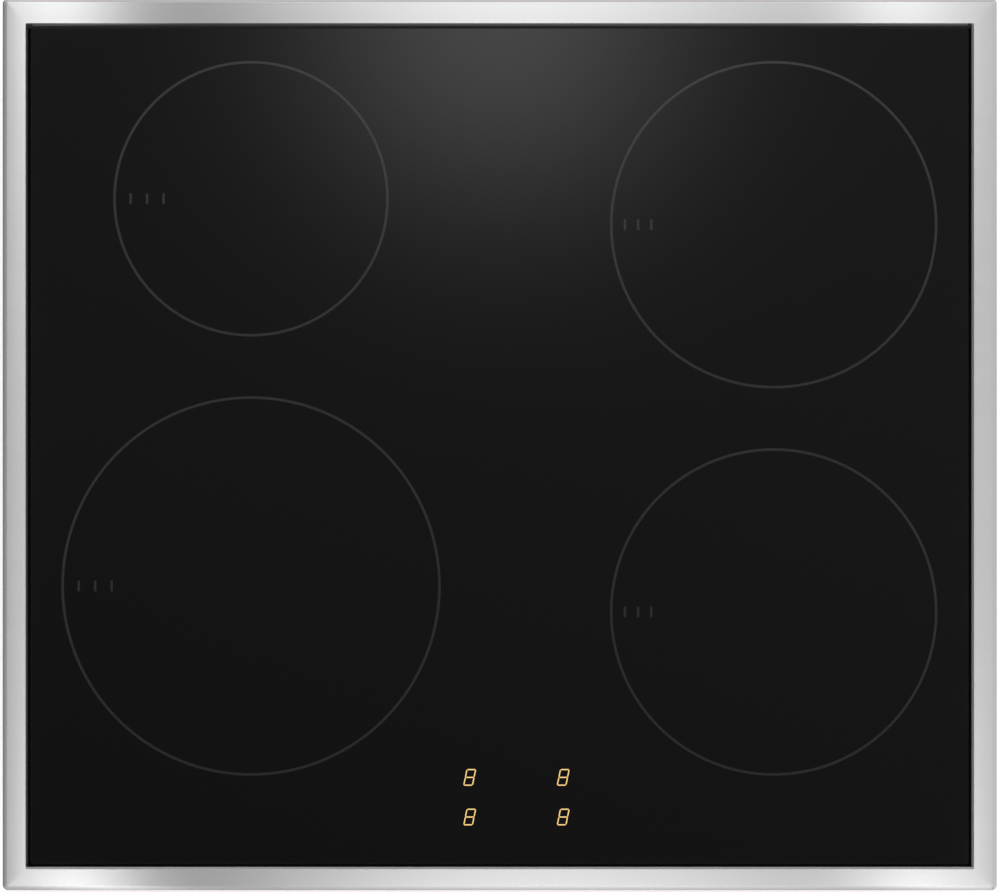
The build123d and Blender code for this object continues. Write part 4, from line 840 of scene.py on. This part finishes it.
def finish_table():
    """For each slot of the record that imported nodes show, what makes its material."""
    return {
        "stainless": lambda: grained("plain_steel", (0.6, 0.6, 0.6), 0.3, 10.0, 1500.0),
        "black_silicone": silicone_bead,
        "foam_gasket": lambda: mottled("foam_gasket", (0.03, 0.03, 0.032), 0.9, scale=700.0, contrast=0.4,
                                       height=0.8),
        "galvanised_sheet": lambda: galvanised((0.5, 0.51, 0.52)),
        "zinc_screws": lambda: mottled("zinc_screws", (0.6, 0.61, 0.63), 0.25, 1.0, 400.0, 0.1),
        "copper_litz": lambda: stranded_copper((0.55, 0.2, 0.075)),
        "former_plastic": lambda: mottled("former_plastic", (0.55, 0.52, 0.45), 0.5),
        "ferrite": lambda: mottled("ferrite", (0.03, 0.03, 0.032), 0.6, scale=500.0, contrast=0.25,
                                   height=0.3),
        "mica": lambda: mottled("mica", (0.55, 0.47, 0.3), 0.3, scale=180.0, contrast=0.3, height=0.15),
        "sensor_ceramic": lambda: mottled("sensor_ceramic", (0.75, 0.73, 0.68), 0.35),
        "spring_steel": lambda: grained("spring_steel", (0.4, 0.4, 0.42), 0.3, 40.0, 1500.0),
        "lead_sleeve": lambda: mottled("lead_sleeve", (0.7, 0.66, 0.56), 0.7, scale=900.0, contrast=0.2,
                                       height=0.5),
        "tray_aluminium": lambda: grained("tray_aluminium", (0.7, 0.71, 0.72), 0.32, 12.0, 900.0),
        "post_aluminium": lambda: grained("post_aluminium", (0.68, 0.69, 0.7), 0.28, 600.0, 600.0),
        "circuit_board": lambda: circuit_board((0.02, 0.12, 0.05)),
        "heatsink_aluminium": lambda: grained("heatsink_aluminium", (0.68, 0.69, 0.7), 0.35, 12.0, 1200.0),
        "black_plastic": lambda: mottled("black_plastic", (0.012, 0.012, 0.013), 0.45, scale=600.0,
                                         height=0.25),
        "rotor_plastic": lambda: mottled("rotor_plastic", (0.022, 0.022, 0.024), 0.4, scale=500.0,
                                         height=0.15),
        "standoff_nylon": lambda: mottled("standoff_nylon", (0.72, 0.7, 0.62), 0.45),
        "film_box": lambda: mottled("film_box", (0.62, 0.58, 0.42), 0.3),
        "capacitor_sleeve": lambda: mottled("capacitor_sleeve", (0.012, 0.016, 0.03), 0.3),
        "choke_winding": lambda: mottled("choke_winding", (0.5, 0.2, 0.08), 0.3, 0.9, 700.0, 0.35, 0.4),
        "terminal_plastic": lambda: mottled("terminal_plastic", (0.32, 0.33, 0.34), 0.5, scale=500.0,
                                            height=0.2),
        "block_plastic": lambda: mottled("block_plastic", (0.7, 0.69, 0.64), 0.45),
        "brass_contacts": lambda: mottled("brass_contacts", (0.7, 0.52, 0.24), 0.28, 1.0, 300.0, 0.12),
        "grommet_rubber": lambda: mottled("grommet_rubber", (0.012, 0.012, 0.012), 0.7, scale=400.0,
                                          height=0.3),
        "module_black": lambda: mottled("module_black", (0.006, 0.006, 0.006), 0.3),
        "carrier_plastic": lambda: mottled("carrier_plastic", (0.03, 0.03, 0.032), 0.5, scale=500.0,
                                           height=0.2),
        "clamp_steel": lambda: grained("clamp_steel", (0.55, 0.56, 0.58), 0.33, 60.0, 900.0),
    }


class COOKTOP_OT_finishes(bpy.types.Operator):
    """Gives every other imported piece, from the casing to the smallest contact, its own finish"""

    bl_idname = "cooktop.finishes"
    bl_label = "Casing and Electronics"

    def execute(self, context):
        makers, made = finish_table(), {}
        for part in frame["record"]["subparts"]:
            node, slot = part["node"], part["material_slot"]
            if slot not in makers:
                continue
            if slot not in made:
                made[slot] = makers[slot]()
            dress(node, made[slot])
        return {"FINISHED"}


# ------------------------------------------------------------------ stage
def ramp(tree, value, stops):
    """A smooth ramp of grey levels by a value. The stops give values and levels, up to the top level."""
    low, high = stops[0][0], stops[-1][0]
    node = tree.nodes.new("ShaderNodeValToRGB")
    node.color_ramp.interpolation = "CARDINAL"
    elements = node.color_ramp.elements
    while len(elements) < len(stops):
        elements.new(1.0)
    for element, (place, level) in zip(elements, stops):
        element.position = (place - low) / (high - low)
        element.color = (*[level / TOP_LEVEL] * 3, 1.0)
    link(tree, spread(tree, value, 0.0, 1.0, low, high), node.inputs[0])
    return math_node(tree, "MULTIPLY", node.outputs[0], TOP_LEVEL)


def studio_light(world):
    """Soft studio light by direction. Overhead hangs a dark flag that the glass mirrors, with a soft glow at
    its rear. Round the flag the light ceiling has streaks from left to right for the brushed frame, and it
    falls off towards the walls."""
    world.use_nodes = True
    tree = world.node_tree
    tree.nodes.clear()
    side, depth, rise = parted_place(tree, "Generated")
    skewed = math_node(tree, "ADD", side, math_node(tree, "MULTIPLY", depth, STREAK_SKEW))
    ceiling = spread(tree, ramp(tree, depth, STREAK_STRENGTH), 1.0, ramp(tree, skewed, STREAKS))
    ceiling = math_node(tree, "MULTIPLY", ceiling, ramp(tree, side, SIDES))
    ceiling = math_node(tree, "MULTIPLY", ceiling, ramp(tree, depth, DEPTHS))
    up = math_node(tree, "MAXIMUM", rise, LEAST_RISE)
    across = math_node(tree, "DIVIDE", side, up)
    along = math_node(tree, "DIVIDE", depth, up)
    flag = math_node(tree, "GREATER_THAN", rise, FLAG_RISE)
    for place, low, high in ((across, -FLAG_SIDE, FLAG_SIDE), (along, FLAG_FRONT, FLAG_REAR)):
        off = math_node(tree, "ABSOLUTE", math_node(tree, "SUBTRACT", place, (low + high) / 2))
        reach = (high - low) / 2
        inside = spread(tree, off, 1.0, 0.0, reach - FLAG_BLUR, reach + FLAG_BLUR)
        flag = math_node(tree, "MULTIPLY", flag, inside)
    far = 0.0
    for place, middle, size in zip((across, along), GLOW_PLACE, GLOW_SIZE):
        step = math_node(tree, "MULTIPLY", math_node(tree, "SUBTRACT", place, middle), 1 / size)
        far = math_node(tree, "ADD", math_node(tree, "MULTIPLY", step, step), far)
    glow = math_node(tree, "MULTIPLY", math_node(tree, "EXPONENT", math_node(tree, "MULTIPLY", far, -0.5)),
                     GLOW_LEVEL)
    slope = math_node(tree, "ADD", math_node(tree, "MULTIPLY", along, FLAG_SLOPE[1]),
                      math_node(tree, "MULTIPLY", across, FLAG_SLOPE[0]))
    dark = math_node(tree, "ADD", math_node(tree, "ADD", slope, FLAG_LEVEL), glow)
    level = spread(tree, flag, ceiling, dark)
    paths = tree.nodes.new("ShaderNodeLightPath")
    seen = spread(tree, paths.outputs["Is Camera Ray"], level, 1.0)
    background = tree.nodes.new("ShaderNodeBackground")
    link(tree, seen, background.inputs["Strength"])
    output = tree.nodes.new("ShaderNodeOutputWorld")
    link(tree, background.outputs[0], output.inputs[0])


def floor_material():
    """Pale floor: its own light brings it up to white for the eye and in reflections, and the part's soft
    shadow stays on it. Under the part it shines up at the casing, and from below it can be looked through."""
    made = bpy.data.materials.new("pale_floor")
    made.use_nodes = True
    tree = made.node_tree
    shader = tree.nodes["Principled BSDF"]
    shader.inputs["Base Color"].default_value = (0.8, 0.8, 0.8, 1.0)
    shader.inputs["Roughness"].default_value = 0.9
    shader.inputs["Emission Color"].default_value = (1.0, 1.0, 1.0, 1.0)
    paths = tree.nodes.new("ShaderNodeLightPath")
    rays = math_node(tree, "MAXIMUM", paths.outputs["Is Camera Ray"], paths.outputs["Is Glossy Ray"])
    rays = math_node(tree, "MAXIMUM", rays, paths.outputs["Is Transmission Ray"])
    under = paths.outputs["Is Diffuse Ray"]
    for place, half in zip(parted_place(tree), FRAME_HALF):
        off = math_node(tree, "ABSOLUTE", place)
        under = math_node(tree, "MULTIPLY", under, math_node(tree, "LESS_THAN", off, half))
    lit = math_node(tree, "MAXIMUM", math_node(tree, "MULTIPLY", rays, FLOOR_SHINE),
                    math_node(tree, "MULTIPLY", under, UNDERGLOW))
    link(tree, lit, shader.inputs["Emission Strength"])
    facing = tree.nodes.new("ShaderNodeNewGeometry")
    from_below = math_node(tree, "MULTIPLY", facing.outputs["Backfacing"], paths.outputs["Is Camera Ray"])
    clear = tree.nodes.new("ShaderNodeBsdfTransparent")
    mix = tree.nodes.new("ShaderNodeMixShader")
    link(tree, from_below, mix.inputs[0])
    link(tree, shader.outputs[0], mix.inputs[1])
    link(tree, clear.outputs[0], mix.inputs[2])
    link(tree, mix.outputs[0], tree.nodes["Material Output"].inputs["Surface"])
    return made


class COOKTOP_OT_stage(bpy.types.Operator):
    """Sets up the floor, the camera and the studio light"""

    bl_idname = "cooktop.stage"
    bl_label = "Stage"

    def execute(self, context):
        size = context.scene.cooktop_stage
        scene = context.scene
        world = bpy.data.worlds.new("Studio")
        studio_light(world)
        scene.world = world
        reach, bottom = size.floor_size, CAD_BOX[0][2] - FLOOR_GAP
        mesh = bpy.data.meshes.new("floor")
        mesh.from_pydata([(-reach, -reach, bottom), (reach, -reach, bottom), (reach, reach, bottom),
                          (-reach, reach, bottom)], [], [(0, 1, 2, 3)])
        mesh.materials.append(floor_material())
        floor = bpy.data.objects.new("floor", mesh)
        scene.collection.objects.link(floor)
        camera = bpy.data.cameras.new("camera")
        camera.sensor_width = SENSOR_WIDTH
        camera.lens = camera.sensor_width * size.distance / size.view_width
        camera.clip_end = VIEW_DEPTH
        eye = bpy.data.objects.new("camera", camera)
        eye.location = (*size.offset, CAD_BOX[1][2] + size.distance)
        scene.collection.objects.link(eye)
        scene.camera = eye
        scene.view_settings.view_transform = "Standard"
        return {"FINISHED"}


class COOKTOP_PT_panel(bpy.types.Panel):
    """Lists the cooktop's settings and the steps that build it"""

    bl_label = "Cooktop"
    bl_idname = "COOKTOP_PT_panel"
    bl_space_type = "VIEW_3D"
    bl_region_type = "UI"
    bl_category = "Cooktop"

    def draw(self, context):
        for operator, settings in STEPS:
            box = self.layout.box()
            box.operator(operator.bl_idname)
            group_settings = getattr(context.scene, settings, None) if settings else None
            if group_settings:
                for title in group_settings.__annotations__:
                    box.prop(group_settings, title)


SETTINGS = {
    "cooktop_frame": FrameSettings,
    "cooktop_glass": GlassSettings,
    "cooktop_digits": DigitSettings,
    "cooktop_coils": CoilSettings,
    "cooktop_stage": StageSettings,
}
STEPS = (
    (COOKTOP_OT_finishes, None),
    (COOKTOP_OT_frame, "cooktop_frame"),
    (COOKTOP_OT_glass, "cooktop_glass"),
    (COOKTOP_OT_digits, "cooktop_digits"),
    (COOKTOP_OT_coils, "cooktop_coils"),
    (COOKTOP_OT_stage, "cooktop_stage"),
)
CLASSES = (*SETTINGS.values(), *(step for step, _ in STEPS), COOKTOP_PT_panel)


def register():
    """Registers the classes, and gives the scene each group of settings."""
    for part in CLASSES:
        bpy.utils.register_class(part)
    for title, kind in SETTINGS.items():
        setattr(bpy.types.Scene, title, bpy.props.PointerProperty(type=kind))


def unregister():
    """Takes the settings off the scene, and the classes back."""
    for title in SETTINGS:
        delattr(bpy.types.Scene, title)
    for part in reversed(CLASSES):
        bpy.utils.unregister_class(part)


def main():
    """Builds the whole cooktop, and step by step."""
    register()
    bpy.ops.cooktop.finishes()
    bpy.ops.cooktop.frame()
    bpy.ops.cooktop.glass()
    bpy.ops.cooktop.digits()
    bpy.ops.cooktop.coils()
    bpy.ops.cooktop.stage()


if __name__ == "__main__":
    main()
